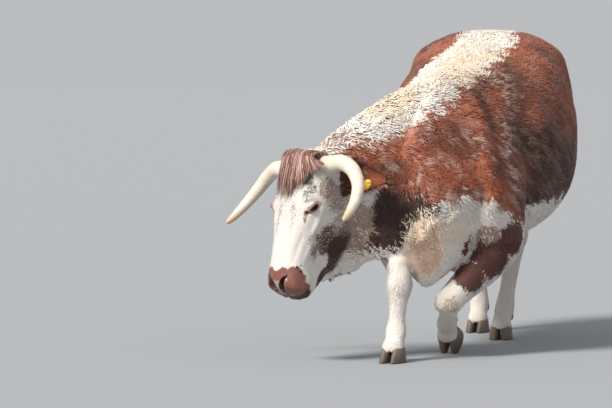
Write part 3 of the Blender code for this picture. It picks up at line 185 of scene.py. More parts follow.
# Legs, by stations: centre x, y, z, then half measures across the limb, to its front and to its back.
# The limb is fused with the torso and carried on by the first two rows of the free part; upper and
# lower are the free part from its cut down to the coronet, in its two lengths
LEGS = {
    "foreleg_left": {
        "yaw": -33,
        "limb": (
            (0.150, -0.260, 1.060, 0.040, 0.070, 0.090),
            (0.200, -0.330, 0.930, 0.075, 0.125, 0.140),
            (0.222, -0.400, 0.790, 0.088, 0.150, 0.160),
            (0.232, -0.425, 0.650, 0.090, 0.150, 0.155),
            (0.236, -0.385, 0.550, 0.086, 0.138, 0.135),
        ),
        "upper": (
            (0.232, -0.352, 0.490, 0.080, 0.125, 0.118),
            (0.214, -0.384, 0.440, 0.075, 0.106, 0.100),
            (0.180, -0.428, 0.380, 0.068, 0.092, 0.082),
            (0.132, -0.487, 0.318, 0.064, 0.076, 0.062),
            (0.088, -0.541, 0.268, 0.064, 0.062, 0.050),
            (0.062, -0.569, 0.230, 0.067, 0.058, 0.046),
            (0.057, -0.574, 0.196, 0.052, 0.042, 0.038),
        ),
        "lower": (
            (0.062, -0.565, 0.226, 0.047, 0.036, 0.038),
            (0.051, -0.531, 0.206, 0.045, 0.036, 0.040),
            (0.040, -0.468, 0.180, 0.039, 0.034, 0.041),
            (0.022, -0.412, 0.152, 0.042, 0.037, 0.044),
            (0.012, -0.374, 0.130, 0.046, 0.041, 0.047),
            (0.008, -0.350, 0.108, 0.042, 0.037, 0.040),
            (0.006, -0.332, 0.086, 0.050, 0.042, 0.040),
        ),
        "foot": {"at": (0.006, -0.332, 0.086), "yaw": -6, "pitch": 62},
    },
    "foreleg_right": {
        "yaw": 18,
        "limb": (
            (-0.150, -0.260, 1.060, 0.040, 0.070, 0.090),
            (-0.200, -0.330, 0.930, 0.075, 0.125, 0.140),
            (-0.222, -0.400, 0.790, 0.088, 0.150, 0.160),
            (-0.230, -0.435, 0.650, 0.088, 0.150, 0.155),
            (-0.228, -0.415, 0.560, 0.084, 0.138, 0.135),
        ),
        "upper": (
            (-0.215, -0.412, 0.495, 0.078, 0.118, 0.120),
            (-0.190, -0.480, 0.455, 0.070, 0.098, 0.100),
            (-0.160, -0.562, 0.420, 0.061, 0.078, 0.080),
            (-0.134, -0.645, 0.388, 0.053, 0.062, 0.062),
            (-0.117, -0.712, 0.354, 0.050, 0.053, 0.054),
            (-0.110, -0.745, 0.312, 0.055, 0.052, 0.053),
            (-0.112, -0.752, 0.270, 0.046, 0.039, 0.045),
        ),
        "lower": (
            (-0.112, -0.752, 0.270, 0.046, 0.039, 0.045),
            (-0.114, -0.754, 0.225, 0.038, 0.034, 0.040),
            (-0.117, -0.757, 0.175, 0.037, 0.033, 0.040),
            (-0.120, -0.764, 0.125, 0.046, 0.041, 0.048),
            (-0.121, -0.786, 0.088, 0.042, 0.038, 0.040),
            (-0.122, -0.804, 0.062, 0.050, 0.047, 0.044),
        ),
        "foot": {"at": (-0.122, -0.804, 0.062), "yaw": -8, "pitch": 0},
    },
    "hindleg_left": {
        "yaw": 4,
        "limb": (
            (0.150, 0.740, 1.210, 0.070, 0.120, 0.120),
            (0.195, 0.650, 1.030, 0.120, 0.215, 0.215),
            (0.215, 0.560, 0.880, 0.112, 0.195, 0.210),
            (0.198, 0.525, 0.765, 0.100, 0.165, 0.185),
        ),
        "upper": (
            (0.172, 0.552, 0.670, 0.080, 0.122, 0.128),
            (0.157, 0.578, 0.620, 0.068, 0.095, 0.104),
            (0.140, 0.606, 0.565, 0.056, 0.068, 0.088),
            (0.125, 0.630, 0.515, 0.049, 0.053, 0.080),
            (0.115, 0.636, 0.462, 0.052, 0.051, 0.067),
            (0.108, 0.624, 0.415, 0.047, 0.045, 0.051),
            (0.104, 0.610, 0.375, 0.042, 0.041, 0.046),
        ),
        "lower": (
            (0.104, 0.610, 0.375, 0.042, 0.041, 0.046),
            (0.097, 0.580, 0.300, 0.038, 0.035, 0.042),
            (0.090, 0.546, 0.215, 0.037, 0.034, 0.042),
            (0.084, 0.512, 0.135, 0.046, 0.041, 0.048),
            (0.081, 0.478, 0.092, 0.042, 0.038, 0.040),
            (0.080, 0.456, 0.062, 0.050, 0.047, 0.044),
        ),
        "foot": {"at": (0.080, 0.456, 0.062), "yaw": 4, "pitch": 0},
    },
    "hindleg_right": {
        "yaw": -4,
        "limb": (
            (-0.150, 0.740, 1.210, 0.070, 0.120, 0.120),
            (-0.195, 0.675, 1.030, 0.120, 0.220, 0.215),
            (-0.212, 0.630, 0.890, 0.112, 0.200, 0.210),
            (-0.200, 0.690, 0.780, 0.100, 0.170, 0.205),
        ),
        "upper": (
            (-0.182, 0.740, 0.695, 0.080, 0.122, 0.128),
            (-0.172, 0.785, 0.655, 0.070, 0.096, 0.106),
            (-0.157, 0.843, 0.600, 0.056, 0.068, 0.084),
            (-0.143, 0.893, 0.545, 0.049, 0.054, 0.076),
            (-0.132, 0.921, 0.487, 0.052, 0.050, 0.066),
            (-0.126, 0.920, 0.437, 0.046, 0.044, 0.050),
            (-0.122, 0.912, 0.390, 0.042, 0.041, 0.045),
        ),
        "lower": (
            (-0.122, 0.912, 0.390, 0.042, 0.041, 0.045),
            (-0.116, 0.897, 0.310, 0.037, 0.034, 0.041),
            (-0.110, 0.880, 0.220, 0.036, 0.033, 0.041),
            (-0.105, 0.864, 0.138, 0.046, 0.041, 0.048),
            (-0.103, 0.838, 0.093, 0.042, 0.038, 0.040),
            (-0.102, 0.818, 0.062, 0.050, 0.047, 0.044),
        ),
        "foot": {"at": (-0.102, 0.818, 0.062), "yaw": -4, "pitch": 0},
    },
}
# Head stations in its own frame, where -Y runs down the face and +Z is the forehead's side:
# y, half width above, half width of the jaw below, top z, bottom z, z of the widest level, squareness
HEAD = (
    (0.052, 0.045, 0.040, -0.030, -0.110, -0.070, 2.2),
    (0.040, 0.085, 0.060, 0.004, -0.160, -0.060, 2.4),
    (0.005, 0.118, 0.080, 0.038, -0.208, -0.045, 2.6),
    (-0.055, 0.130, 0.088, 0.055, -0.250, -0.040, 2.9),
    (-0.120, 0.133, 0.092, 0.060, -0.278, -0.036, 3.0),
    (-0.190, 0.134, 0.092, 0.057, -0.292, -0.034, 3.0),
    (-0.250, 0.120, 0.086, 0.047, -0.288, -0.044, 2.9),
    (-0.310, 0.105, 0.076, 0.039, -0.272, -0.054, 2.8),
    (-0.370, 0.094, 0.066, 0.033, -0.246, -0.062, 2.8),
    (-0.425, 0.090, 0.062, 0.026, -0.217, -0.068, 2.8),
    (-0.470, 0.095, 0.068, 0.018, -0.192, -0.070, 2.8),
    (-0.505, 0.096, 0.070, 0.006, -0.166, -0.072, 2.7),
    (-0.529, 0.087, 0.064, -0.010, -0.152, -0.076, 2.6),
    (-0.545, 0.052, 0.040, -0.040, -0.128, -0.080, 2.3),
)

# Skin: cells that fuse the flesh, rounds of smoothing, triangles left, and how far the coat stands out
# from it on the body and on legs and tail
SKIN_CELL = 0.008
SKIN_SMOOTHING = 7
BODY_TRIANGLES = 100000
COAT_DEPTH = 0.007
LEG_COAT_DEPTH = 0.003

# Crease between trunk and neck: a point on it, the way across it, and how far from it skin is evened out
NECK_ROOT = (-0.060, -0.540, 0.790)
NECK_WAY = (-0.31, -0.86, 0.42)
CREASE_REACH = 0.11

# Folds in the skin of the brisket: centre, reach and height
FOLDS_AT = (0.0, -0.69, 0.46)
FOLDS_REACH = (0.10, 0.09, 0.16)
FOLD_HEIGHT = 0.0055

# How far from the path of a leg its flesh lies at most
LEG_REACH = 0.105

# Opening of the eye: tilt of its long axis, half length, rise of the upper lid and drop of the lower
EYE_TILT = math.radians(38)
OPENING = (0.0196, 0.0098, 0.0076)
LID_DEPTH = 0.0030
# How far inside the eye's centre the skin may lie and still be raised over the eyeball
LID_SINK = -0.018
LID_STEPS = 56
# Creases round the eye: distance from its middle, half width, the rises between which each comes in, and
# depth
LID_CREASES = ((0.0245, 0.0026, -0.002, 0.006, 0.0036), (0.0315, 0.0030, 0.0, 0.010, 0.0020),
               (0.0260, 0.0026, 0.0, -0.008, 0.0020))

# Eyeball: the way that it looks, the angle at which the iris ends, and the pupil's half measures
EYE_LOOK = (1.0, -0.12, 0.30)
IRIS_EDGE = 0.80
PUPIL_REACH = (0.0085, 0.0050)

# Path of the left nostril from its upper outer end to its lower inner one: x, y, z and radius
NOSTRIL = ((0.058, -0.482, 0.005, 0.0030), (0.048, -0.491, 0.006, 0.0060), (0.036, -0.503, 0.000, 0.0105),
           (0.027, -0.518, -0.011, 0.0145), (0.022, -0.532, -0.024, 0.0120), (0.022, -0.541, -0.036, 0.0040))
NOSTRIL_INWARD = (-0.17, 0.79, -0.59)

# Forms of the face in the head's frame, mirrored: centre x, y, z, reach in x, y, z, and height
FACE_FORMS = (
    (0.112, -0.160, 0.052, 0.030, 0.045, 0.014, 0.0090),
    (0.124, -0.190, 0.012, 0.024, 0.034, 0.026, -0.0080),
    (0.108, -0.100, 0.015, 0.034, 0.040, 0.034, -0.0090),
    (0.116, -0.255, -0.026, 0.026, 0.060, 0.012, 0.0085),
    (0.100, -0.335, -0.042, 0.026, 0.060, 0.011, 0.0065),
    (0.095, -0.190, -0.150, 0.034, 0.075, 0.060, 0.0115),
    (0.080, -0.305, -0.140, 0.034, 0.022, 0.060, -0.0085),
    (0.070, -0.320, 0.004, 0.022, 0.090, 0.012, -0.0075),
    (0.062, -0.230, 0.044, 0.016, 0.040, 0.014, -0.0045),
    (0.022, -0.360, 0.034, 0.026, 0.120, 0.020, 0.0040),
    (0.052, -0.512, -0.012, 0.012, 0.022, 0.018, 0.0065),
    (0.060, -0.466, 0.010, 0.020, 0.016, 0.014, -0.0035),
    (0.000, -0.500, 0.008, 0.010, 0.040, 0.020, -0.0022),
    (0.074, -0.485, -0.080, 0.030, 0.036, 0.020, 0.0075),
    (0.030, -0.505, -0.150, 0.040, 0.030, 0.018, 0.0060),
    (0.070, -0.440, -0.120, 0.024, 0.020, 0.016, -0.0060),
    (0.078, -0.090, -0.215, 0.030, 0.050, 0.040, 0.0080),
    (0.035, 0.010, 0.036, 0.045, 0.036, 0.030, 0.0060),
    (0.050, -0.130, 0.058, 0.036, 0.060, 0.020, -0.0035),
)

# Line of the mouth: where its corner is, its level there and at the lips' front
MOUTH_CORNER = (-0.438, -0.104)
MOUTH_FRONT = (-0.545, -0.112)

# Forms of the body, as the face's: shoulder blade's ridge, the furrow behind the shoulder, point of the
# shoulder, hook, flank's hollow, stifle, elbow and the ridge of the loin
BODY_FORMS = (
    (0.200, -0.330, 1.000, 0.060, 0.035, 0.140, 0.0120),
    (0.285, -0.215, 0.860, 0.080, 0.045, 0.230, -0.0150),
    (0.210, -0.585, 0.720, 0.070, 0.060, 0.070, 0.0120),
    (0.290, 0.560, 1.270, 0.090, 0.070, 0.060, 0.0160),
    (0.370, 0.430, 1.130, 0.100, 0.090, 0.080, -0.0220),
    (0.290, 0.500, 0.760, 0.080, 0.070, 0.090, 0.0120),
    (0.300, -0.290, 0.560, 0.060, 0.045, 0.060, 0.0100),
    (0.160, 0.960, 1.160, 0.060, 0.060, 0.050, 0.0120),
    (0.230, 0.800, 1.270, 0.070, 0.090, 0.060, -0.0100),
)


def unit(vectors):
    """Vectors over their lengths."""
    return vectors / np.maximum(np.linalg.norm(vectors, axis=-1, keepdims=True), 1e-12)


def smooth_step(low, high, value):
    """3t^2 - 2t^3, with t from 0 at low to 1 at high."""
    t = np.clip((value - low) / (high - low), 0, 1)
    return t * t * (3 - 2 * t)


def between(stations, count=None, along=None):
    """Rows through the stations on a Catmull-Rom curve, in every column at once:
    (2b + (c - a)t + (2a - 5b + 4c - d)t^2 + (3b - 3c + d - a)t^3) / 2."""
    rows = np.array(stations, float)
    padded = np.vstack([2 * rows[0] - rows[1], rows, 2 * rows[-1] - rows[-2]])
    along = np.linspace(0, len(rows) - 1, count) if along is None else along
    first = np.minimum(along.astype(int), len(rows) - 2)
    t = (along - first)[:, None]
    a, b, c, d = (padded[first + i] for i in range(4))
    return 0.5 * (2 * b + (c - a) * t + (2 * a - 5 * b + 4 * c - d) * t**2 + (3 * (b - c) + d - a) * t**3)


def hashed(cells, seed):
    """A number from 0 to 1 for each whole cell: its three numbers times primes, mixed bit by bit."""
    bits = (cells.astype(np.int64) * (73856093, 19349663, 83492791)).sum(-1) + seed * 2654435761
    bits = (bits ^ (bits >> 13)) * 1274126177 & 0xFFFFFFFF
    bits = (bits ^ (bits >> 16)) * 2246822519 & 0xFFFFFFFF
    return ((bits ^ (bits >> 15)) & 0xFFFFFF) / float(0xFFFFFF)


def soft_noise(points, size, seed):
    """Value noise from 0 to 1: the hashed corners of each cell of a size, blended by 3t^2 - 2t^3."""
    scaled = points / size
    cell = np.floor(scaled)
    part = scaled - cell
    part = part * part * (3 - 2 * part)
    total = np.zeros(len(points))
    for corner in np.ndindex(2, 2, 2):
        weight = np.where(corner, part, 1 - part).prod(-1)
        total += weight * hashed(cell + corner, seed)
    return total


def layered_noise(points, size, seed):
    """Three octaves of the noise, each half as large and half as strong as the one before."""
    return sum(soft_noise(points, size / 2**i, seed + i) * 4 / 7 / 2**i for i in range(3))


def full_turn(sides):
    """Angles 2 pi i / sides round a full turn."""
    return np.arange(sides) * 2 * math.pi / sides


def superellipse(sides, square):
    """Cosine and sine of a round, each to the power 2 / square with its sign kept."""
    turn = full_turn(sides) if np.isscalar(sides) else sides
    cosine, sine = np.cos(turn), np.sin(turn)
    return (np.sign(cosine) * np.abs(cosine) ** (2 / square), np.sign(sine) * np.abs(sine) ** (2 / square))


def closed_tube(rings):
    """A closed skin through rings: quads from ring to ring, and a fan on each end's middle."""
    rows, sides = rings.shape[:2]
    points = np.concatenate([rings.reshape(-1, 3), rings[:1].mean(1), rings[-1:].mean(1)])
    index = np.arange(rows * sides).reshape(rows, sides)
    after = np.roll(index, -1, 1)
    quads = np.stack([index[:-1], after[:-1], after[1:], index[1:]], -1).reshape(-1, 4)
    first = np.stack([np.full(sides, rows * sides), after[0], index[0]], -1)
    last = np.stack([np.full(sides, rows * sides + 1), index[-1], after[-1]], -1)
    return facing_out(points, quads, np.vstack([first, last]))


def ring_tube(rings):
    """A closed loop of rings, like a quoit: the last ring joins the first."""
    rows, sides = rings.shape[:2]
    index = np.arange(rows * sides).reshape(rows, sides)
    after, following = np.roll(index, -1, 1), np.roll(index, -1, 0)
    quads = np.stack([index, after, np.roll(after, -1, 0), following], -1).reshape(-1, 4)
    return facing_out(rings.reshape(-1, 3), quads, np.zeros((0, 3), int))


def facing_out(points, quads, tris):
    """Turns every face round where the volume, a sum of a . (b x c) / 6 over triangles, is below 0."""
    faces = np.vstack([quads[:, :3], quads[:, [0, 2, 3]], tris])
    a, b, c = (points[faces[:, i]] for i in range(3))
    if (a * np.cross(b, c)).sum() < 0:
        quads, tris = quads[:, ::-1], tris[:, ::-1]
    return points, quads, tris


def object_from(name, shapes):
    """One mesh object from several (points, quads, triangles)."""
    starts = np.cumsum([0] + [len(points) for points, _, _ in shapes])
    points = np.vstack([points for points, _, _ in shapes])
    quads = np.vstack([q + s for (_, q, _), s in zip(shapes, starts)]).astype(np.int32)
    tris = np.vstack([t + s for (_, _, t), s in zip(shapes, starts)]).astype(np.int32)
    mesh = bpy.data.meshes.new(name)
    mesh.vertices.add(len(points))
    mesh.vertices.foreach_set("co", points.astype(np.float32).ravel())
    mesh.loops.add(quads.size + tris.size)
    mesh.loops.foreach_set("vertex_index", np.concatenate([quads.ravel(), tris.ravel()]))
    mesh.polygons.add(len(quads) + len(tris))
    starts = np.concatenate([np.arange(len(quads)) * 4, quads.size + np.arange(len(tris)) * 3])
    mesh.polygons.foreach_set("loop_start", starts.astype(np.int32))
    mesh.update(calc_edges=True)
    mesh.shade_smooth()
    made = bpy.data.objects.new(name, mesh)
    bpy.context.scene.collection.objects.link(made)
    return made


def vertices_of(thing):
    """Places and normals of a mesh's vertices."""
    mesh = thing.data
    places = np.empty(len(mesh.vertices) * 3, np.float32)
    mesh.vertices.foreach_get("co", places)
    normals = np.empty(len(mesh.vertices) * 3, np.float32)
    mesh.vertex_normals.foreach_get("vector", normals)
    return places.reshape(-1, 3).astype(float), normals.reshape(-1, 3).astype(float)


def move_vertices(thing, places):
    """Gives the vertices of a mesh new places."""
    thing.data.vertices.foreach_set("co", places.astype(np.float32).ravel())
    thing.data.update()


def apply_modifiers(thing):
    """The mesh as its modifiers leave it."""
    graph = bpy.context.evaluated_depsgraph_get()
    graph.update()
    made = bpy.data.meshes.new_from_object(thing.evaluated_get(graph))
    thing.modifiers.clear()
    old, thing.data = thing.data, made
    bpy.data.meshes.remove(old)
    return thing


def boolean(thing, other, operation):
    """Joins or cuts closed meshes, and removes the other."""
    change = thing.modifiers.new("boolean", "BOOLEAN")
    change.operation, change.object, change.solver = operation, other, "MANIFOLD"
    apply_modifiers(thing)
    bpy.data.objects.remove(other)
    return thing


def edges_of(thing):
    """The two vertices of each edge of a mesh."""
    pairs = np.empty(len(thing.data.edges) * 2, np.int32)
    thing.data.edges.foreach_get("vertices", pairs)
    return pairs.reshape(-1, 2)


def relax(thing, weight, rounds):
    """Moves each vertex by its weight towards the mean of those next to it, a number of rounds."""
    places, _ = vertices_of(thing)
    pairs = edges_of(thing)
    count = np.bincount(pairs.ravel(), minlength=len(places))[:, None]
    for _ in range(rounds):
        total = np.zeros_like(places)
        for axis in range(3):
            total[:, axis] = (np.bincount(pairs[:, 0], places[pairs[:, 1], axis], len(places))
                              + np.bincount(pairs[:, 1], places[pairs[:, 0], axis], len(places)))
        places += weight[:, None] * (total / np.maximum(count, 1) - places)
    move_vertices(thing, places)


def head_matrix():
    """From the head's own frame to the animal's."""
    heading = Vector((math.sin(HEAD_YAW), -math.cos(HEAD_YAW), 0))
    left = Vector((math.cos(HEAD_YAW), math.sin(HEAD_YAW), 0))
    face = heading * math.cos(FACE_PITCH) - Vector((0, 0, 1)) * math.sin(FACE_PITCH)
    front = heading * math.sin(FACE_PITCH) + Vector((0, 0, 1)) * math.cos(FACE_PITCH)
    turned = Matrix((left, -face, front)).transposed().to_4x4()
    return Matrix.Translation(POLL) @ turned


def moved(points, matrix):
    """Points through a 4 x 4 matrix."""
    matrix = np.array(matrix)
    return points @ matrix[:3, :3].T + matrix[:3, 3]


HEAD_TO_ANIMAL = head_matrix()
ANIMAL_TO_HEAD = HEAD_TO_ANIMAL.inverted()
HEAD_TURN = np.array(HEAD_TO_ANIMAL)[:3, :3]
eye_low, eye_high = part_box("eye_left")
SHIFT = np.array((eye_low + eye_high) / 2 - HEAD_TO_ANIMAL @ Vector(EYE_CENTRE))
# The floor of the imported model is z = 0 as well
SHIFT[2] = 0.0
# What the two sides are called
HANDS = {1: "left", -1: "right"}


def placed(shape, matrix=None):
    """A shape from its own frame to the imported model's."""
    points, quads, tris = shape
    points = (points if matrix is None else moved(points, matrix)) + SHIFT
    return facing_out(points, quads, tris)


def upright_rings(stations, count, sides):
    """Trunk sections square to Y: x = centre + width cos (1 - drawn sin^2), z = level + rise or drop sin."""
    y, x, width, top, bottom, level, square, drawn = between(stations, count).T[:, :, None]
    cosine, sine = superellipse(sides, square)
    across = width * cosine * (1 - drawn * np.clip(sine, 0, 1) ** 2)
    height = level + np.where(sine > 0, (top - level) * sine, (level - bottom) * sine)
    return np.stack([x + across, y + 0 * across, height], -1)


def yawed_rings(stations, count, sides, square=2.0, pinch=0.0):
    """Upright sections turned about Z: across = width cos (1 - pinch low^1.5), height = rise or drop sin."""
    x, y, z, yaw, width, rise, drop = between(stations, count).T[:, :, None]
    cosine, sine = superellipse(sides, square)
    turn = np.radians(yaw)
    height = np.where(sine > 0, rise * sine, drop * sine)
    across = width * cosine * (1 - pinch * np.clip(-sine, 0, 1) ** 1.5)
    return np.stack([x + across * np.cos(turn), y + across * np.sin(turn), z + height], -1)


def limb_rings(stations, count, sides, yaw, last=None):
    """Sections square to a limb's path: across = half width cos, depth = front or back measure sin."""
    rows = between(stations, count)
    centres = rows[:, :3]
    along = unit(np.gradient(centres, axis=0))
    if last is not None:
        along[-1] = last
        along[-2:-1] = unit(along[-2:-1] + 2 * last)
    hint = np.array([math.cos(math.radians(yaw)), math.sin(math.radians(yaw)), 0.0])
    left = unit(hint - (along @ hint)[:, None] * along)
    rear = np.cross(left, along)
    cosine, sine = superellipse(sides, 2.2)
    across, front, back = rows[:, 3:].T[:, :, None]
    depth = np.where(sine > 0, back * sine, front * sine)
    return centres[:, None] + (across * cosine)[..., None] * left[:, None] + depth[..., None] * rear[:, None]


def round_rings(radii, count, sides):
    """An ellipsoid: radii times (cos a sin b, sin a sin b, cos b)."""
    polar = np.linspace(0, math.pi, count + 2)[1:-1, None]
    turn = full_turn(sides)
    return np.stack([np.cos(turn) * np.sin(polar), np.sin(turn) * np.sin(polar),
                     np.cos(polar) + 0 * turn], -1) * radii


def muscle_shape(upper, lower, across, depth, side):
    """A long ellipsoid between two points, flattened across the animal, on one side of it."""
    upper, lower = np.array(upper), np.array(lower)
    size = np.linalg.norm(upper - lower)
    long = (upper - lower) / size
    deep = unit(np.array([0.0, 1.0, 0.0]) - long * long[1])
    rings = round_rings((across, depth, size * 0.62), 24, 32)
    rings = rings @ np.array([np.cross(deep, long), deep, long]) + (upper + lower) / 2
    return closed_tube(rings * (side, 1, 1))


def foot_matrix(foot):
    """From a foot's own frame, with its coronet's centre at the origin and the toe along -Y."""
    turned = Matrix.Rotation(math.radians(foot["yaw"]), 4, "Z") @ Matrix.Rotation(
        math.radians(foot["pitch"]), 4, "X")
    return Matrix.Translation(foot["at"]) @ turned


def leg_shapes(spec):
    """The upper limb and the two lengths of a leg, the last carried on a little over the claws."""
    foot = spec["foot"]
    down = -np.array(foot_matrix(foot).to_3x3() @ Vector((0, 0, 1)))
    band = list(spec["lower"][-1])
    band[:3] = np.array(band[:3]) + 0.012 * down
    band[3:] = [0.96 * measure for measure in band[3:]]
    shapes = [closed_tube(limb_rings(spec["limb"] + spec["upper"][:2], 40, 40, spec["yaw"]))]
    if foot["pitch"]:
        shapes.append(closed_tube(limb_rings(spec["upper"], 50, 36, spec["yaw"])))
        shapes.append(closed_tube(limb_rings(spec["lower"] + (band,), 50, 36, foot["yaw"], down)))
    else:
        stations = spec["upper"] + spec["lower"][1:] + (band,)
        shapes.append(closed_tube(limb_rings(stations, 90, 36, spec["yaw"], down)))
    return shapes


def dock_shape():
    """The tail's dock and its core down through the switch: round sections along the path."""
    rows = between(TAIL, 60)
    along = unit(np.gradient(rows[:, :3], axis=0))
    rear = unit(np.cross(along, (1.0, 0, 0)))
    left = np.cross(rear, along)
    turn = full_turn(20)
    thin = np.where(rows[:, 2] < SWITCH_TOP[2], 0.45, 1.0)
    size = (rows[:, 3] * thin)[:, None, None]
    round_ = np.cos(turn)[:, None] * left[:, None] + np.sin(turn)[:, None] * rear[:, None]
    return closed_tube(rows[:, None, :3] + size * round_)


def pushed(places, normals, forms):
    """Moves points along their normals by a sum of height exp(-((p - centre) / reach)^2)."""
    total = np.zeros(len(places))
    for x, y, z, a, b, c, height in forms:
        for side in (1, -1):
            apart = (places - (side * x, y, z)) / (a, b, c)
            total += height * np.exp(-(apart**2).sum(-1))
    return places + normals * total[:, None]


def body_skin():
    """Trunk, neck, dewlap, limbs, muscles and tail fused in cells, smoothed and set in by the coat."""
    shapes = [closed_tube(upright_rings(TRUNK, 100, 80)),
              closed_tube(yawed_rings(NECK, 60, 64, 2.1)),
              closed_tube(yawed_rings(DEWLAP, 70, 48, 2.0, 0.55)), dock_shape()]
    for spec in LEGS.values():
        shapes += leg_shapes(spec)
    for upper, lower, across, depth in MUSCLES:
        shapes += [muscle_shape(upper, lower, across, depth, side) for side in (1, -1)]
    body = object_from("skin", [placed(shape) for shape in shapes])
    remesh = body.modifiers.new("remesh", "REMESH")
    remesh.mode, remesh.voxel_size = "VOXEL", SKIN_CELL
    smooth = body.modifiers.new("smooth", "SMOOTH")
    smooth.factor, smooth.iterations = 0.5, SKIN_SMOOTHING
    apply_modifiers(body)
    # The fused neck and trunk meet in a crease, which is evened out across its width
    animal = vertices_of(body)[0] - SHIFT
    crease = sum((animal[:, i] - NECK_ROOT[i]) * NECK_WAY[i] for i in range(3))
    evened = np.exp(-((crease / CREASE_REACH) ** 2))
    relax(body, 0.9 * evened * smooth_step(0.62, 0.80, animal[:, 2]), 45)
    places, normals = vertices_of(body)
    places = pushed(places - SHIFT, normals, BODY_FORMS)
    apart = ((places - FOLDS_AT) / FOLDS_REACH) ** 2
    folds = FOLD_HEIGHT * np.sin(120 * (places[:, 0] - 0.5 * places[:, 1]) + 9 * places[:, 2])
    places += normals * (folds * np.exp(-apart.sum(-1)))[:, None]
    limb = np.maximum(1 - smooth_step(0.46, 0.60, places[:, 2]), smooth_step(1.0, 1.03, places[:, 1]))
    places -= normals * (COAT_DEPTH + (LEG_COAT_DEPTH - COAT_DEPTH) * limb)[:, None]
    move_vertices(body, places + SHIFT)
    thin = body.modifiers.new("thin", "DECIMATE")
    thin.ratio = BODY_TRIANGLES / (2 * len(body.data.polygons))
    return apply_modifiers(body)


def spread(low, high, count, peaks):
    """Steps from low to high, closer together by a factor round each (place, reach, factor)."""
    fine = np.linspace(low, high, 4000)
    density = 1 + sum(factor * np.exp(-((fine - at) / reach) ** 2) for at, reach, factor in peaks)
    share = np.concatenate([[0], np.cumsum((density[1:] + density[:-1]) / 2)])
    return np.interp(np.linspace(0, share[-1], count), share, fine)


def head_sections(places_along, turn):
    """Sections of the head: x = cos (width + (jaw - width) low), z = level + rise or drop sin."""
    stations = np.array(HEAD)
    steps = np.interp(places_along, -stations[:, 0], np.arange(len(HEAD)))
    y, width, jaw, top, bottom, level, square = between(HEAD, along=steps).T[:, :, None]
    cosine, sine = superellipse(turn, square)
    low = np.clip(-sine, 0, 1)
    across = cosine * (width + (jaw - width) * low)
    height = level + np.where(sine > 0, (top - level) * sine, (level - bottom) * sine)
    return np.stack([across, y + 0 * across, height], -1)


def grid_normals(rings):
    """Cross product of the ways along and round the grid."""
    along = np.gradient(rings, axis=0)
    round_ = np.roll(rings, -1, 1) - np.roll(rings, 1, 1)
    normals = unit(np.cross(round_, along))
    outward = (normals * (rings - rings.mean(1, keepdims=True))).sum() > 0
    return normals if outward else -normals


def eye_local(points, side):
    """Offsets from an eye's centre in the head's frame: outwards, along the opening, and across it."""
    x, y, z = EYE_CENTRE
    apart = points - (side * x, y, z)
    forward = -apart[..., 1] * math.cos(EYE_TILT) + apart[..., 2] * math.sin(EYE_TILT)
    rise = apart[..., 1] * math.sin(EYE_TILT) + apart[..., 2] * math.cos(EYE_TILT)
    return side * apart[..., 0], forward, rise


def from_eye(out, forward, rise, side):
    """The way back from eye_local."""
    x, y, z = EYE_CENTRE
    return np.stack([side * (x + out), y - forward * math.cos(EYE_TILT) + rise * math.sin(EYE_TILT),
                     z + forward * math.sin(EYE_TILT) + rise * math.cos(EYE_TILT)], -1)


def opening(turn):
    """The almond between the lids: forward = half cos, rise = upper or lower lid times |sin|^1.2."""
    half, upper, lower = OPENING
    sine = np.sin(turn)
    return half * np.cos(turn), np.where(sine > 0, upper, -lower) * np.abs(sine) ** 1.2


def lidded(points):
    """Skin round each eye, raised to the lids' height over the eyeball, with a crease above the lid."""
    points = points.copy()
    for side in (1, -1):
        out, forward, rise = eye_local(points, side)
        apart = np.hypot(forward * 0.85, rise)
        ball = np.sqrt(np.maximum((EYE_RADIUS + LID_DEPTH) ** 2 - apart**2, 0))
        outside = out > LID_SINK
        near = outside * (1 - smooth_step(0.020, 0.034, apart))
        raised = np.maximum(out, ball) * near + out * (1 - near)
        for away, reach, low, full, depth in LID_CREASES:
            crease = np.exp(-((apart - away) / reach) ** 2) * smooth_step(low, full, rise) * outside
            raised = raised - depth * crease
        points = np.where(outside[..., None], from_eye(raised, forward, rise, side), points)
    return points


def mouth_depth(points):
    """Depth of the mouth's line, and the swell of the lips on either side of it."""
    y, z = points[..., 1], points[..., 2]
    (corner_y, corner_z), (front_y, front_z) = MOUTH_CORNER, MOUTH_FRONT
    share = np.clip((y - corner_y) / (front_y - corner_y), -0.3, 1)
    level = corner_z + (front_z - corner_z) * share - 0.006 * np.sin(math.pi * np.clip(share, 0, 1))
    shown = smooth_step(-0.05, 0.25, share)
    groove = np.exp(-(((z - level) / 0.0026) ** 2))
    lips = np.exp(-(((z - level - 0.011) / 0.009) ** 2)) + np.exp(-(((z - level + 0.011) / 0.008) ** 2))
    return shown * (0.0032 * lips - 0.0065 * groove)


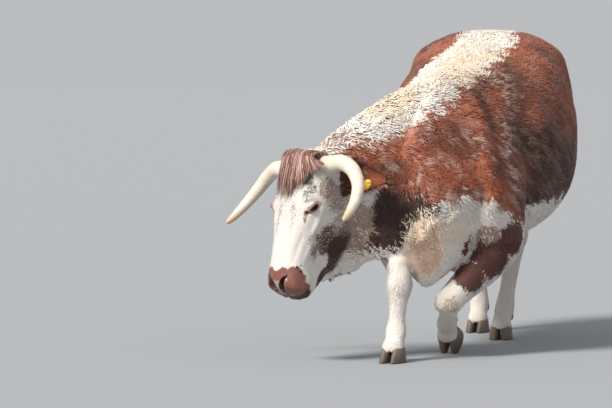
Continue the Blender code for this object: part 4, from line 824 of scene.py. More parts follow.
def head_skin():
    """The head's skin in its own frame: sections, forms, lids, mouth line, nostrils and eye openings."""
    along = spread(-0.052, 0.545, 190, ((0.188, 0.035, 1.6), (0.51, 0.04, 1.2)))
    # Angles of the eye, the mouth and the nostril round the sections
    turn = spread(-math.pi / 2, math.pi / 2, 100, ((0.62, 0.28, 1.2), (-0.45, 0.16, 1.4)))
    turn = np.concatenate([turn, math.pi - turn[-2:0:-1]])
    rings = head_sections(along, turn)
    normals = grid_normals(rings)
    flat = pushed(rings.reshape(-1, 3), normals.reshape(-1, 3), FACE_FORMS)
    flat += normals.reshape(-1, 3) * (mouth_depth(flat) - 0.002)[:, None]
    wrinkles = np.sin(flat[:, 1] * 260 + 3 * np.sin(flat[:, 2] * 30)) * 0.0007
    near_jaw = np.exp(-(((flat - (0, -0.40, -0.14)) / (0.14, 0.05, 0.05)) ** 2).sum(-1))
    flat += normals.reshape(-1, 3) * (wrinkles * near_jaw)[:, None]
    head = object_from("head_skin", [placed(closed_tube(lidded(flat).reshape(rings.shape)),
                                            HEAD_TO_ANIMAL)])
    for side in (1, -1):
        for cutter in (opening_cutter(side), nostril_cutter(side)):
            boolean(head, object_from("cutter", [placed(cutter, HEAD_TO_ANIMAL)]), "DIFFERENCE")
        boolean(head, object_from("rim", [placed(lid_rim(side), HEAD_TO_ANIMAL)]), "UNION")
    return head


def opening_cutter(side):
    """A plug through the lids: the almond scaled from inside the eyeball to outside the skin."""
    turn = full_turn(LID_STEPS)
    forward, rise = opening(turn)
    levels = np.array([[0.000, 0.55], [0.010, 0.85], [0.018, 1.0], [0.045, 1.30]])
    out, scale = levels[:, :1], levels[:, 1:]
    return closed_tube(from_eye(out + 0 * forward, scale * forward, scale * rise, side))


def lid_rim(side):
    """The lids' bare edge: a thin round bead along the almond, on the eyeball's surface."""
    turn = full_turn(LID_STEPS)
    forward, rise = opening(turn)
    centre = np.stack([np.sqrt((EYE_RADIUS + 0.0012) ** 2 - forward**2 - rise**2), forward, rise], -1)
    along = unit(np.roll(centre, -1, 0) - np.roll(centre, 1, 0))
    out = unit(centre)
    across = np.cross(along, out)
    angle = full_turn(8)
    bead = (centre[:, None] + 0.0019 * np.cos(angle)[:, None] * out[:, None]
            + 0.0022 * np.sin(angle)[:, None] * across[:, None])
    return ring_tube(from_eye(bead[..., 0], bead[..., 1], bead[..., 2], side))


def nostril_cutter(side):
    """A bent pouch that narrows to both ends: across = radius cos, depth = 1.7 radius sin."""
    path = between(NOSTRIL, 26)
    along = unit(np.gradient(path[:, :3], axis=0))
    deep = unit(np.cross(along, (0.0, 0.6, 0.8)))
    wide = np.cross(along, deep)
    angle = full_turn(20)
    rings = path[:, None, :3] + path[:, 3][:, None, None] * (
        np.cos(angle)[:, None] * deep[:, None] * 1.7 + np.sin(angle)[:, None] * wide[:, None])
    return closed_tube(rings * (side, 1, 1))


def ear_axes():
    """The ear's ways along, up and to its open face."""
    along = unit(np.array(EAR_ALONG))
    up = unit(np.array(EAR_UP) - np.array(EAR_UP).dot(along) * along)
    return along, up, np.cross(along, up)


def ear_surface(share, across):
    """Points on the ear's inner face and normals: arcs of a funnel that opens into a leaf."""
    along, up, front = ear_axes()
    wide = 0.36 + 0.64 * np.sin(math.pi * np.clip(share, 0, 1) ** 0.85) ** 0.9
    width = EAR_HALF_WIDTH * wide * (1 - 0.42 * np.maximum(share - 0.55, 0) / 0.45)
    angle_reach = np.radians(115 - 70 * np.minimum(share * 2.2, 1))
    radius = width / np.sin(np.minimum(angle_reach, math.pi / 2))
    angle = across * angle_reach
    out = np.sin(angle)[..., None] * up - (np.cos(angle) - 1)[..., None] * front
    normal = np.cos(angle)[..., None] * front - np.sin(angle)[..., None] * up
    centre = (np.array(EAR_ROOT) + along * (EAR_LENGTH * share)[..., None]
              - up * (0.020 * share**2)[..., None] - front * (radius * 0.6)[..., None])
    return centre + radius[..., None] * out, normal


def ear_shape(side):
    """The ear as a closed leaf: its inner face, and its outer face as thick as skin and gristle."""
    share = np.linspace(0.0, 0.995, 44)[:, None] + np.zeros(22)
    step = np.linspace(-1, 1, 22) + np.zeros((44, 1))
    inner, normal = ear_surface(share, step)
    ridges = 0.0012 * np.sin(step * 9) * np.clip(1 - share, 0, 1) * (np.abs(step) < 0.75)
    inner = inner + normal * ridges[..., None]
    thick = EAR_THICKNESS * 0.8 * (1 - 0.65 * step**2) * (1 - 0.5 * share)
    outer = inner - normal * thick[..., None]
    rings = np.concatenate([inner, outer[:, ::-1]], 1)
    root = rings[:1] - np.array(EAR_ALONG) * 0.024
    return closed_tube(np.concatenate([root, rings]) * (side, 1, 1))


def full_skin():
    """Body, head and ears as one closed skin, with the join of head and neck rounded."""
    body, head = body_skin(), head_skin()
    before = np.vstack([vertices_of(body)[0], vertices_of(head)[0]])
    known = set(map(tuple, np.round(before * 20000).astype(int)))
    boolean(body, head, "UNION")
    places, _ = vertices_of(body)
    new = np.array([key not in known for key in map(tuple, np.round(places * 20000).astype(int))])
    local = moved(places - SHIFT, ANIMAL_TO_HEAD)
    new &= (local[:, 1] > -0.10) & (np.abs(local[:, 0]) < 0.2)
    weight = new.astype(float)
    pairs = edges_of(body)
    for _ in range(7):
        reach = np.zeros(len(weight))
        np.maximum.at(reach, pairs[:, 0], weight[pairs[:, 1]])
        np.maximum.at(reach, pairs[:, 1], weight[pairs[:, 0]])
        weight = np.maximum(weight, 0.86 * reach)
    relax(body, np.where(weight > 0.4, weight, 0), 14)
    for side in (1, -1):
        boolean(body, object_from("ear", [placed(ear_shape(side), HEAD_TO_ANIMAL)]), "UNION")
    return without_scraps(body)


def without_scraps(thing):
    """The skin without slivers of a join: equal places become one, the lowest number spreads over each
    surface from corner to corner, and the surface with the most triangles stays."""
    places, _ = vertices_of(thing)
    _, first, same = np.unique(np.round(places * 1e6).astype(int), axis=0, return_index=True,
                               return_inverse=True)
    corners = same.ravel()[triangles_of(thing)]
    corners = corners[(corners != np.roll(corners, 1, axis=1)).all(1)]
    number, before = np.arange(len(first)), -1
    while np.any(number != before):
        before = number.copy()
        for i in range(3):
            np.minimum.at(number, corners[:, i], before[corners].min(1))
        number = number[number]
    whole = np.bincount(number[corners[:, 0]]).argmax()
    corners = corners[number[corners[:, 0]] == whole]
    used, corners = np.unique(corners, return_inverse=True)
    bpy.data.objects.remove(thing)
    return object_from("skin", [(places[first[used]], np.empty((0, 4), int), corners.reshape(-1, 3))])


# Colours of skin, coat, horn and eye
WHITE = (0.79, 0.745, 0.70)
CREAM = (0.85, 0.70, 0.54)
RED = (0.33, 0.086, 0.036)
DARK = (0.045, 0.017, 0.012)
BROWN = (0.150, 0.070, 0.048)
PLUM = (0.110, 0.038, 0.032)
MAUVE = (0.40, 0.255, 0.225)
PINK = (0.78, 0.49, 0.37)
GREY = (0.150, 0.130, 0.125)
TAN = (0.38, 0.275, 0.215)
SAND = (0.52, 0.40, 0.31)
MUZZLE = (0.240, 0.090, 0.066)
# Pale skin of the nose, also a painted highlight on each nostril's wing
NOSE_SKIN_AND_HIGHLIGHT = (0.36, 0.255, 0.235)
# Dark edges of the lids and the eye's corner, also painted as shade inside the nostrils
DARK_RIM_AND_NOSTRIL_SHADE = (0.040, 0.018, 0.015)
LID_SKIN = (0.34, 0.17, 0.125)
PALE_STRAND = (0.60, 0.44, 0.38)
SHADED_WHITE = (0.50, 0.37, 0.30)
IRIS = (0.022, 0.010, 0.006)
IRIS_RIM = (0.008, 0.004, 0.003)
PUPIL = (0.002, 0.001, 0.001)
EYE_WHITE = (0.12, 0.075, 0.06)
IVORY = (0.76, 0.67, 0.56)
HORN_ROOT = (0.66, 0.38, 0.22)
HORN_TIP = (0.50, 0.31, 0.16)
CLAW_ABOVE = (0.20, 0.15, 0.11)
CLAW_BELOW = (0.09, 0.065, 0.05)
DEWCLAW = (0.15, 0.11, 0.085)
TAG_YELLOW = (0.86, 0.52, 0.03)

# Two colours for the locks of a piece, and the share of them that has the first
FORELOCK_COLOURS = ((0.52, 0.33, 0.28), (0.185, 0.075, 0.055), 0.26)
HORN_BASE_COLOURS = ((0.50, 0.34, 0.28), (0.20, 0.080, 0.055), 0.45)
SWITCH_COLOURS = (CREAM, (0.34, 0.17, 0.11), 0.75)
FRINGE_COLOURS = ((0.20, 0.070, 0.045), (0.44, 0.25, 0.18), 0.5)
LASH_COLOUR = (0.035, 0.018, 0.014)

# Line of the back from the poll to the tail: x, y and z, and the reach of the pale band along it on the
# left and on the right side
BACK = (
    (-0.467, -0.860, 0.900, 0.085, 0.10),
    (-0.405, -0.810, 0.890, 0.088, 0.14),
    (-0.345, -0.745, 0.953, 0.094, 0.20),
    (-0.260, -0.665, 1.027, 0.150, 0.26),
    (-0.165, -0.575, 1.095, 0.180, 0.30),
    (-0.070, -0.475, 1.145, 0.165, 0.32),
    (-0.010, -0.340, 1.190, 0.124, 0.32),
    (0.008, -0.250, 1.205, 0.112, 0.30),
    (0.020, -0.080, 1.232, 0.114, 0.27),
    (0.028, 0.140, 1.280, 0.117, 0.23),
    (0.026, 0.340, 1.338, 0.124, 0.14),
    (0.006, 0.500, 1.384, 0.128, 0.12),
    (-0.008, 0.650, 1.394, 0.120, 0.11),
    (-0.008, 0.790, 1.370, 0.125, 0.12),
    (0.000, 0.905, 1.325, 0.135, 0.13),
    (0.008, 1.000, 1.200, 0.110, 0.11),
)

# Level at which the red of the sides ends below: along the body as y and z, and on the neck as x and z
RED_EDGE = ((-0.65, 0.690), (-0.57, 0.668), (-0.47, 0.612), (-0.42, 0.565), (-0.30, 0.565), (-0.15, 0.620),
            (0.00, 0.655), (0.20, 0.660), (0.40, 0.650), (0.55, 0.620), (0.80, 0.590), (1.00, 0.600))
NECK_EDGE = ((-0.36, 0.44), (-0.26, 0.465), (-0.18, 0.495), (-0.09, 0.545), (-0.01, 0.625), (0.06, 0.675),
             (0.14, 0.692))

# Path of the pale furrow behind the shoulder, from the band down, and of the painted shade behind it
FURROW = ((0.170, -0.080, 1.215), (0.243, -0.273, 1.038), (0.275, -0.400, 0.871), (0.311, -0.455, 0.680))
FURROW_REACH = 0.050
SHADE_BEHIND = 0.105

# Marks on the body: centre, reach, colour, and the share of its hairs that have it
BODY_MARKS = (
    # Dark patch on the neck below the head: partly dark hair, partly painted shadow of head, horn and ear
    ((-0.150, -0.745, 0.585), (0.200, 0.110, 0.140), DARK, 1.15),
    ((-0.290, -0.775, 0.600), (0.080, 0.090, 0.165), TAN, 1.10),
    ((-0.300, -0.770, 0.580), (0.060, 0.080, 0.110), WHITE, 0.30),
    ((-0.400, -0.800, 0.905), (0.085, 0.080, 0.050), MAUVE, 0.65),
    ((0.290, -0.400, 0.500), (0.080, 0.085, 0.070), PLUM, 1.50),
    ((0.225, -0.465, 0.415), (0.080, 0.085, 0.080), PLUM, 1.50),
    ((0.145, -0.535, 0.345), (0.065, 0.065, 0.068), PLUM, 1.50),
    ((0.170, -0.525, 0.450), (0.055, 0.055, 0.060), PLUM, 1.40),
    ((0.250, -0.440, 0.440), (0.090, 0.090, 0.090), DARK, 0.35),
    ((0.215, -0.505, 0.520), (0.055, 0.060, 0.050), MAUVE, 0.75),
    ((0.240, -0.470, 0.455), (0.030, 0.035, 0.045), BROWN, 0.60),
    ((-0.010, -0.690, 0.460), (0.100, 0.080, 0.150), CREAM, 1.20),
    ((0.005, -0.690, 0.425), (0.080, 0.070, 0.150), PINK, 0.78),
    ((0.090, -0.640, 0.530), (0.060, 0.060, 0.070), CREAM, 0.70),
    ((0.030, -0.680, 0.390), (0.030, 0.050, 0.050), PINK, 0.80),
    ((0.095, -0.655, 0.215), (0.060, 0.065, 0.060), SAND, 0.80),
    ((0.095, -0.650, 0.255), (0.030, 0.040, 0.022), GREY, 0.35),
)

# Marks on the face in the head's frame, mirrored: centre, reach, colour, and share of the hairs
FACE_MARKS = (
    ((0.098, -0.280, -0.120), (0.050, 0.085, 0.070), BROWN, 0.80),
    ((0.098, -0.275, -0.140), (0.050, 0.085, 0.075), DARK, 0.62),
    ((0.080, -0.255, -0.205), (0.060, 0.095, 0.075), DARK, 1.35),
    ((0.095, -0.130, -0.240), (0.060, 0.100, 0.070), TAN, 0.95),
    ((0.095, -0.345, -0.080), (0.035, 0.050, 0.036), BROWN, 0.62),
    ((0.062, -0.350, -0.225), (0.060, 0.085, 0.052), DARK, 1.00),
    ((0.058, -0.440, -0.185), (0.050, 0.060, 0.036), DARK, 0.92),
    ((0.104, -0.305, -0.040), (0.026, 0.045, 0.026), TAN, 0.50),
    ((0.086, -0.390, -0.112), (0.028, 0.028, 0.024), GREY, 0.34),
    ((0.112, -0.205, -0.150), (0.040, 0.060, 0.060), MAUVE, 0.62),
    ((0.128, -0.090, -0.030), (0.040, 0.055, 0.050), TAN, 0.78),
    ((0.122, -0.110, -0.100), (0.045, 0.070, 0.070), TAN, 0.72),
    ((0.100, -0.170, -0.200), (0.045, 0.060, 0.050), TAN, 0.66),
    ((0.130, -0.100, -0.050), (0.040, 0.070, 0.080), GREY, 0.20),
    ((0.080, -0.080, 0.050), (0.030, 0.030, 0.026), GREY, 0.70),
    ((0.104, -0.112, 0.038), (0.028, 0.034, 0.026), GREY, 0.62),
    ((0.094, -0.145, 0.046), (0.018, 0.036, 0.020), GREY, 0.60),
    ((0.038, -0.210, 0.054), (0.014, 0.032, 0.020), GREY, 0.52),
    ((0.044, -0.262, 0.044), (0.013, 0.046, 0.020), GREY, 0.44),
    ((0.103, -0.224, 0.034), (0.010, 0.016, 0.012), LID_SKIN, 1.00),
    ((0.098, -0.244, 0.026), (0.006, 0.018, 0.012), LID_SKIN, 0.75),
    ((0.106, -0.213, 0.028), (0.012, 0.009, 0.008), DARK_RIM_AND_NOSTRIL_SHADE, 1.00),
    ((0.000, -0.540, -0.020), (0.140, 0.046, 0.095), MUZZLE, 1.60),
    ((0.082, -0.472, -0.020), (0.038, 0.034, 0.050), MUZZLE, 1.30),
    ((0.074, -0.520, -0.060), (0.048, 0.044, 0.052), MUZZLE, 1.30),
    ((0.046, -0.472, 0.020), (0.034, 0.022, 0.022), MUZZLE, 1.20),
    ((0.016, -0.476, 0.022), (0.040, 0.013, 0.020), MUZZLE, 1.10),
    ((0.000, -0.494, 0.014), (0.050, 0.012, 0.022), MUZZLE, 1.40),
    ((0.000, -0.534, -0.014), (0.036, 0.036, 0.040), NOSE_SKIN_AND_HIGHLIGHT, 1.30),
    ((0.035, -0.545, -0.066), (0.020, 0.030, 0.012), NOSE_SKIN_AND_HIGHLIGHT, 0.80),
    # Dark on the lips at the front of the mouth: painted shade on the lower lip
    ((0.045, -0.545, -0.110), (0.080, 0.050, 0.034), DARK, 1.20),
    ((0.084, -0.436, -0.016), (0.006, 0.006, 0.008), DARK, 1.10),
    ((0.091, -0.448, -0.036), (0.006, 0.006, 0.007), DARK, 1.10),
    ((0.088, -0.425, -0.030), (0.004, 0.005, 0.005), DARK, 1.00),
    ((0.000, 0.000, 0.045), (0.090, 0.045, 0.050), RED, 1.00),
    # Pale spot on each nostril's wing: a painted highlight
    ((0.050, -0.500, -0.006), (0.007, 0.016, 0.010), NOSE_SKIN_AND_HIGHLIGHT, 1.20),
)

# Level of y from which the streaks turn to the neck's way, and at which all have it
FRONT_FROM = (-0.35, -0.60)

HAIR_SEED = 7
# How far a lock's normals are turned to the skin's
SOFTNESS = 0.72
chance = np.random.default_rng(HAIR_SEED)


def nearest_on(path, points, flat=False):
    """Place along a path in steps, the point there and the way on: each point's nearest on each leg."""
    path = np.array(path, float)
    start, leg = path[:-1], np.diff(path, axis=0)
    axes = 2 if flat else 3
    apart = points[:, None] - start
    share = (apart[..., :axes] * leg[:, :axes]).sum(-1) / ((leg[:, :axes] ** 2).sum(-1) + 1e-12)
    share = np.clip(share, 0, 1)
    foot = start + share[..., None] * leg
    distance = np.linalg.norm((points[:, None] - foot)[..., :axes], axis=-1)
    pick = distance.argmin(1)
    rows = np.arange(len(points))
    return pick + share[rows, pick], foot[rows, pick], unit(leg)[pick]


def mixed(colour, tint, share):
    """A colour moved towards another by a share for each place."""
    return colour + (np.array(tint) - colour) * np.asarray(share)[..., None]


def blend_marks(colour, points, marks, rough, pick, mirrored):
    """Lays marks over a colour. A mark is exp(-((p - centre) / reach)^2), its edge made uneven by noise,
    and a hair has its colour where the mark's share is above the hair's own number."""
    for centre, reach, tint, density in marks:
        amount = 0
        for side in ((1, -1) if mirrored else (1,)):
            apart = (points - np.array(centre) * (side, 1, 1)) / reach
            amount = np.maximum(amount, np.exp(-(apart**2).sum(-1)))
        share = density * smooth_step(0.12, 0.62, amount + 0.55 * (rough - 0.5) * np.sqrt(amount))
        colour = mixed(colour, tint, smooth_step(0.0, 0.16, share - pick))
    return colour


def streaks(points, way, size, seed):
    """Noise drawn out fivefold along one way, as hair is."""
    way = unit(np.array(way))
    return layered_noise(points - 0.80 * (points @ way)[:, None] * way, size, seed)


def red_sides(animal, rough, streak, pick):
    """Colour of the sides: red, darker behind and below, partly the coat's own darker brown and partly
    painted shade, with painted shade behind the furrow, and pale strands, most of them on neck, shoulder and
    furrow, exp(-(distance / reach)^2); on the furrow they are partly roan and partly a painted lit shoulder
    edge."""
    _, y, z = animal.T
    in_front = smooth_step(*FRONT_FROM, y)
    tone = soft_noise(animal, 0.13, 5)
    # Darker low on the flank and towards the rear: partly the coat's own darker brown, partly painted shade
    low = smooth_step(1.06, 0.76, z) * smooth_step(-0.36, -0.16, y)
    darker = 0.55 * smooth_step(0.42, 0.78, tone) + 0.95 * low + 0.25 * smooth_step(0.1, 0.7, y)
    reds = mixed(np.tile(RED, (len(animal), 1)), DARK, np.clip(darker, 0, 0.92))
    mirrored = folded(animal)
    _, beside, _ = nearest_on(FURROW, mirrored)
    off = np.linalg.norm(mirrored - beside, axis=1)
    # Pale strands along the furrow: partly roan, partly a painted lit edge of the shoulder
    furrow = np.exp(-((off / FURROW_REACH) ** 2)) * smooth_step(-0.5, -0.44, y)
    # Painted shade on the ribs behind the furrow, as behind a lit shoulder
    _, behind, _ = nearest_on(np.array(FURROW) + (0, SHADE_BEHIND, -0.02), mirrored)
    shade = np.exp(-((np.linalg.norm(mirrored - behind, axis=1) / (1.4 * FURROW_REACH)) ** 2))
    reds = mixed(reds, DARK, 0.65 * shade)
    strands = 0.13 + 0.58 * in_front * smooth_step(0.45, 0.75, rough) + 0.55 * furrow
    strands = np.clip(strands * smooth_step(0.42, 0.66, streak) * (0.55 + 0.9 * pick), 0, 0.85)
    return mixed(reds, PALE_STRAND, strands)


def white_coat(animal, rough, streak):
    """Colour of the rest: white, warmer along the band, with darker streaks above the legs."""
    z = animal[:, 2]
    warm = smooth_step(0.35, 0.75, soft_noise(animal, 0.16, 13)) * smooth_step(0.86, 1.0, z)
    warm = np.clip(warm * smooth_step(1.38, 1.25, z) + 0.25 * rough, 0, 1)
    pale = mixed(np.tile(WHITE, (len(animal), 1)), CREAM, warm)
    shaded = 0.55 * smooth_step(0.46, 0.72, streak) * smooth_step(0.5, 0.8, z)
    return mixed(pale, SHADED_WHITE, shaded)


def face_colour(head, rough, pick):
    """Colour on the head: white with the face's marks, dark lid edges and painted shade in the nostrils."""
    face = blend_marks(np.tile(WHITE, (len(head), 1)), head, FACE_MARKS, layered_noise(head, 0.018, 9),
                       pick, True)
    for side in (1, -1):
        out, forward, rise = eye_local(head, side)
        apart = lid_distance(forward, rise)
        near = (out > 0) * smooth_step(2.5, 1.7, apart + 0.5 * (rough - 0.5))
        face = mixed(face, LID_SKIN, near * 0.9)
        face = mixed(face, DARK_RIM_AND_NOSTRIL_SHADE, (out > 0) * smooth_step(1.34, 1.12, apart))
    # Painted shade within the nostril: near its path, whatever the depth along its inward way
    path, places = between(NOSTRIL, 13), folded(head)
    step, centre, _ = nearest_on(path[:, :3], places)
    inward, apart = unit(np.array(NOSTRIL_INWARD)), places - centre
    depth = apart @ inward
    wide = np.linalg.norm(apart - depth[:, None] * inward, axis=1) / np.interp(step, range(13), path[:, 3])
    return mixed(face, DARK_RIM_AND_NOSTRIL_SHADE, smooth_step(1.30, 1.0, wide) * (np.abs(depth) < 0.028))


def coat_colour(points, pick):
    """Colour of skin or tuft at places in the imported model: white with a band, red sides and marks.

    pick is a number from 0 to 1 for each place, which settles whether a hair there is red or white."""
    animal = points - SHIFT
    head = moved(animal, ANIMAL_TO_HEAD)
    x, y, z = animal.T
    rough = layered_noise(animal, 0.045, 3)
    in_front = smooth_step(*FRONT_FROM, y)
    streak = streaks(animal, (0, 0.80, -0.60), 0.020, 11)
    streak += in_front * (streaks(animal, (0.55, 0.45, -0.70), 0.016, 12) - streak)
    step, offset, way, apart = from_back(animal)
    left = offset[:, 0] * -way[:, 1] + offset[:, 1] * way[:, 0] < 0
    stops = np.arange(len(BACK))
    edge = np.where(left, np.interp(step, stops, [row[3] for row in BACK]),
                    np.interp(step, stops, [row[4] for row in BACK]))
    uneven = 0.08 * (rough - 0.5) + 0.06 * (streak - 0.5)
    below_band = smooth_step(-0.034, 0.034, apart - edge + uneven)
    level = np.interp(y, *np.array(RED_EDGE).T)
    on_neck = smooth_step(-0.58, -0.66, y)
    level += on_neck * (np.interp(x, *np.array(NECK_EDGE).T) - level)
    above_white = smooth_step(-0.025, 0.025, z - level + uneven)
    red = below_band * above_white
    reds = red_sides(animal, rough, streak, pick)
    pale = white_coat(animal, rough, streak)
    colour = mixed(pale, reds, smooth_step(0.0, 0.22, red * 1.22 - pick))
    colour = blend_marks(colour, animal, BODY_MARKS, rough, pick, False)
    on_head = smooth_step(0.02, -0.02, head[:, 1]) * (np.abs(head[:, 0]) < 0.165)
    on_head = on_head * smooth_step(-0.275, -0.245, head[:, 2])
    colour = mixed(colour, face_colour(head, rough, pick), on_head)
    in_ear, ear_share, _ = ear_place(head)
    # The ears are red, darkened towards the root with painted shade in the cup
    deep = smooth_step(0.85, 0.25, ear_share)[:, None]
    return mixed(colour, np.array(RED) * (0.35 + 0.9 * rough)[:, None] * (1 - 0.72 * deep), in_ear)


def mirror(side):
    """Factors (side, 1, 1) for each place's own side."""
    return np.stack([side, side * 0 + 1, side * 0 + 1], -1)


def folded(points):
    """Places with x made |x|, so that both sides fall on the left one."""
    return np.stack([np.abs(points[:, 0]), points[:, 1], points[:, 2]], -1)


def lid_distance(forward, rise):
    """Distance from the middle of an eye in shares of its opening: hypot(forward / half, rise / lid)."""
    return np.hypot(forward / OPENING[0], np.where(rise > 0, rise / OPENING[1], rise / OPENING[2]))


def leg_path(spec):
    """Centres of a leg's stations from its cut down to the coronet."""
    return np.array([row[:3] for row in spec["upper"] + spec["lower"]])


def from_back(animal):
    """Place along the line of the back in steps, offset from it, its way there, and distance off it."""
    step, foot, way = nearest_on(np.array(BACK)[:, :3], animal, True)
    return step, animal - foot, way, np.linalg.norm(animal - foot, axis=1)


def ear_place(head):
    """Whether a place in the head's frame lies on an ear, how far along it, and the side it is on."""
    side = np.where(head[:, 0] < 0, -1.0, 1.0)
    apart = head * mirror(side) - EAR_ROOT
    along, up, front = ear_axes()
    share = apart @ along / EAR_LENGTH
    off = np.hypot(apart @ up, apart @ front)
    return (share > 0.10) & (share < 1.1) & (off < 0.085), share, side


def triangles_of(thing):
    """Corners of a mesh's triangles."""
    mesh = thing.data
    mesh.calc_loop_triangles()
    corners = np.empty(len(mesh.loop_triangles) * 3, np.int32)
    mesh.loop_triangles.foreach_get("vertices", corners)
    return corners.reshape(-1, 3)


def body_part(points):
    """Number of the part that each place belongs to: 0 torso, 1 neck, 2 head, 3 ear, 4 foreleg,
    5 hind leg, 6 tail."""
    animal = points - SHIFT
    head = moved(animal, ANIMAL_TO_HEAD)
    part = np.zeros(len(points), int)
    ragged = 0.16 * (soft_noise(animal, 0.022, 91) - 0.5)
    part[(animal - NECK_ROOT) @ NECK_WAY > ragged] = 1
    for spec in LEGS.values():
        path = leg_path(spec)
        _, foot, _ = nearest_on(path, animal)
        close = np.linalg.norm(animal - foot, axis=1) < LEG_REACH
        part[close & (animal[:, 2] < path[0, 2])] = 4 if path[0, 1] < 0 else 5
    past_poll = head[:, 1] < 0.015 + 0.3 * ragged
    part[past_poll & (np.abs(head[:, 0]) < 0.16) & (head[:, 2] > -0.29 + ragged)] = 2
    part[ear_place(head)[0]] = 3
    part[(animal[:, 1] > 1.0) & (np.abs(animal[:, 0] - 0.02) < 0.08) & (animal[:, 2] < 1.22)] = 6
    return part


def lie_of_coat(points, part):
    """The way that the coat lies: back and down on body and neck, down the face and the legs, and along
    ears and tail."""
    animal = points - SHIFT
    head = moved(animal, ANIMAL_TO_HEAD)
    lie = np.tile((0.0, 1.0, -0.55), (len(points), 1))
    neck = smooth_step(-0.30, -0.60, animal[:, 1])[:, None]
    lie = lie + neck * (np.array((0.50, 0.55, -0.55)) - lie)
    above = smooth_step(-0.20, -0.13, head[:, 1])[:, None] * (head[:, 2] > -0.02)[:, None]
    down_face = np.stack([head[:, 0] * 2.0, -0.8 + 0 * head[:, 0], -0.35 + 0 * head[:, 0]], -1)
    up_face = np.stack([head[:, 0] * 6.0, 0.8 + 0 * head[:, 0], 0 * head[:, 0]], -1)
    side = smooth_step(0.0, -0.08, head[:, 2])[:, None]
    face = down_face + above * (up_face - down_face)
    face = face + side * (np.array((0.0, 0.35, -1.0)) - face)
    lie = np.where((part == 2)[:, None], face @ HEAD_TURN.T, lie)
    _, _, ear_side = ear_place(head)
    along = np.array(EAR_ALONG) * mirror(ear_side)
    lie = np.where((part == 3)[:, None], along @ HEAD_TURN.T, lie)
    lie = np.where((part == 6)[:, None], (0.0, 0.1, -1.0), lie)
    for spec in LEGS.values():
        path = leg_path(spec)
        _, foot, way = nearest_on(path, animal)
        close = (part >= 4) & (part <= 5) & (np.linalg.norm(animal - foot, axis=1) < LEG_REACH)
        lie = np.where(close[:, None], way, lie)
    return lie


# For each part: tufts, rings of a tuft, length, half width, lift from the skin, and waviness
COATS = {
    "torso": (0, 46000, 2, 0.026, 0.0024, 0.17, 0.50),
    "neck": (1, 22000, 3, 0.031, 0.0025, 0.26, 1.00),
    "head": (2, 29000, 2, 0.0090, 0.0009, 0.08, 0.45),
    "ears": (3, 5000, 2, 0.014, 0.0013, 0.20, 0.40),
    "forelegs": (4, 11000, 2, 0.014, 0.0018, 0.12, 0.35),
    "hind_legs": (5, 8500, 2, 0.014, 0.0018, 0.12, 0.35),
    "dock": (6, 2500, 2, 0.026, 0.0024, 0.30, 0.40),
}
PARTS_OF_PIECE = {"torso": 3, "neck": 3, "head": 2}
COAT_SLOTS = {"head": "face", "forelegs": "white_coat", "hind_legs": "white_coat"}


def lock_shapes(paths, out, half_width, thickness, taper):
    """Closed locks: at each step of a path but the last a three-cornered ring, scaled by taper, and then
    the tip. Returns points by lock, and the triangles of all."""
    count, steps = paths.shape[:2]
    rings = steps - 1
    along = unit(np.gradient(paths, axis=1))
    side = unit(np.cross(along, out))
    top = np.cross(side, along)
    corner = np.stack([-side, side, top * (thickness / half_width)[:, None, None]], 2)[:, :rings]
    scale = half_width[:, None, None, None] * np.asarray(taper)[:rings, None, None]
    points = paths[:, :rings, None] + corner * scale
    points = np.concatenate([points.reshape(count, rings * 3, 3), paths[:, -1:]], 1)
    ring = np.arange(rings - 1)[:, None] * 3
    a, b = ring + np.arange(3), ring + (np.arange(3) + 1) % 3
    sides = np.concatenate([np.stack([a, b, b + 3], -1), np.stack([a, b + 3, a + 3], -1)]).reshape(-1, 3)
    last = (rings - 1) * 3
    tips = np.stack([last + np.arange(3), last + (np.arange(3) + 1) % 3, np.full(3, rings * 3)], -1)
    template = np.vstack([[(0, 2, 1)], sides, tips])
    tris = template + (np.arange(count) * (rings * 3 + 1))[:, None, None]
    return points, tris.reshape(-1, 3)


def lock_object(name, paths, out, half_width, thickness, taper, colour, shade, patch):
    """An object of many locks, with a colour at each vertex, and the map OFBake in which every lock is a
    patch 0.003 across at its root's place on the unwrap. A lock's normals are its own, turned most of the
    way to the skin's, since a real lock is many hairs and not one hard edge."""
    points, tris = lock_shapes(paths, out, half_width, thickness, taper)
    made = object_from(name, [facing_out(points.reshape(-1, 3), np.zeros((0, 4), int), tris)])
    ring = np.append(np.repeat(np.arange(paths.shape[1] - 1), 3), paths.shape[1] - 1)
    soft = SOFTNESS * out[:, ring].reshape(-1, 3) + (1 - SOFTNESS) * vertices_of(made)[1]
    made.data.normals_split_custom_set_from_vertices(unit(soft))
    tone = np.asarray(shade)[ring]
    paint(made, np.clip(colour[:, None] * tone[:, None], 0, 1).reshape(-1, 3))
    local = np.stack([np.append(np.tile((0.0, 1.0, 0.5), paths.shape[1] - 1), 0.5),
                      ring / (paths.shape[1] - 1)], -1)
    spots = (0.002 + 0.993 * patch[:, None] + 0.003 * local).reshape(-1, 2)
    layer = made.data.uv_layers.new(name="OFBake")
    corner = np.empty(len(made.data.loops), np.int32)
    made.data.loops.foreach_get("vertex_index", corner)
    layer.data.foreach_set("uv", spots[corner].astype(np.float32).ravel())
    return made


def paint(thing, colours):
    """Sets the attribute coat_colour at each vertex."""
    layer = thing.data.color_attributes.new("coat_colour", "FLOAT_COLOR", "POINT")
    rgba = np.hstack([colours, np.ones((len(colours), 1))]).astype(np.float32)
    layer.data.foreach_set("color", rgba.ravel())


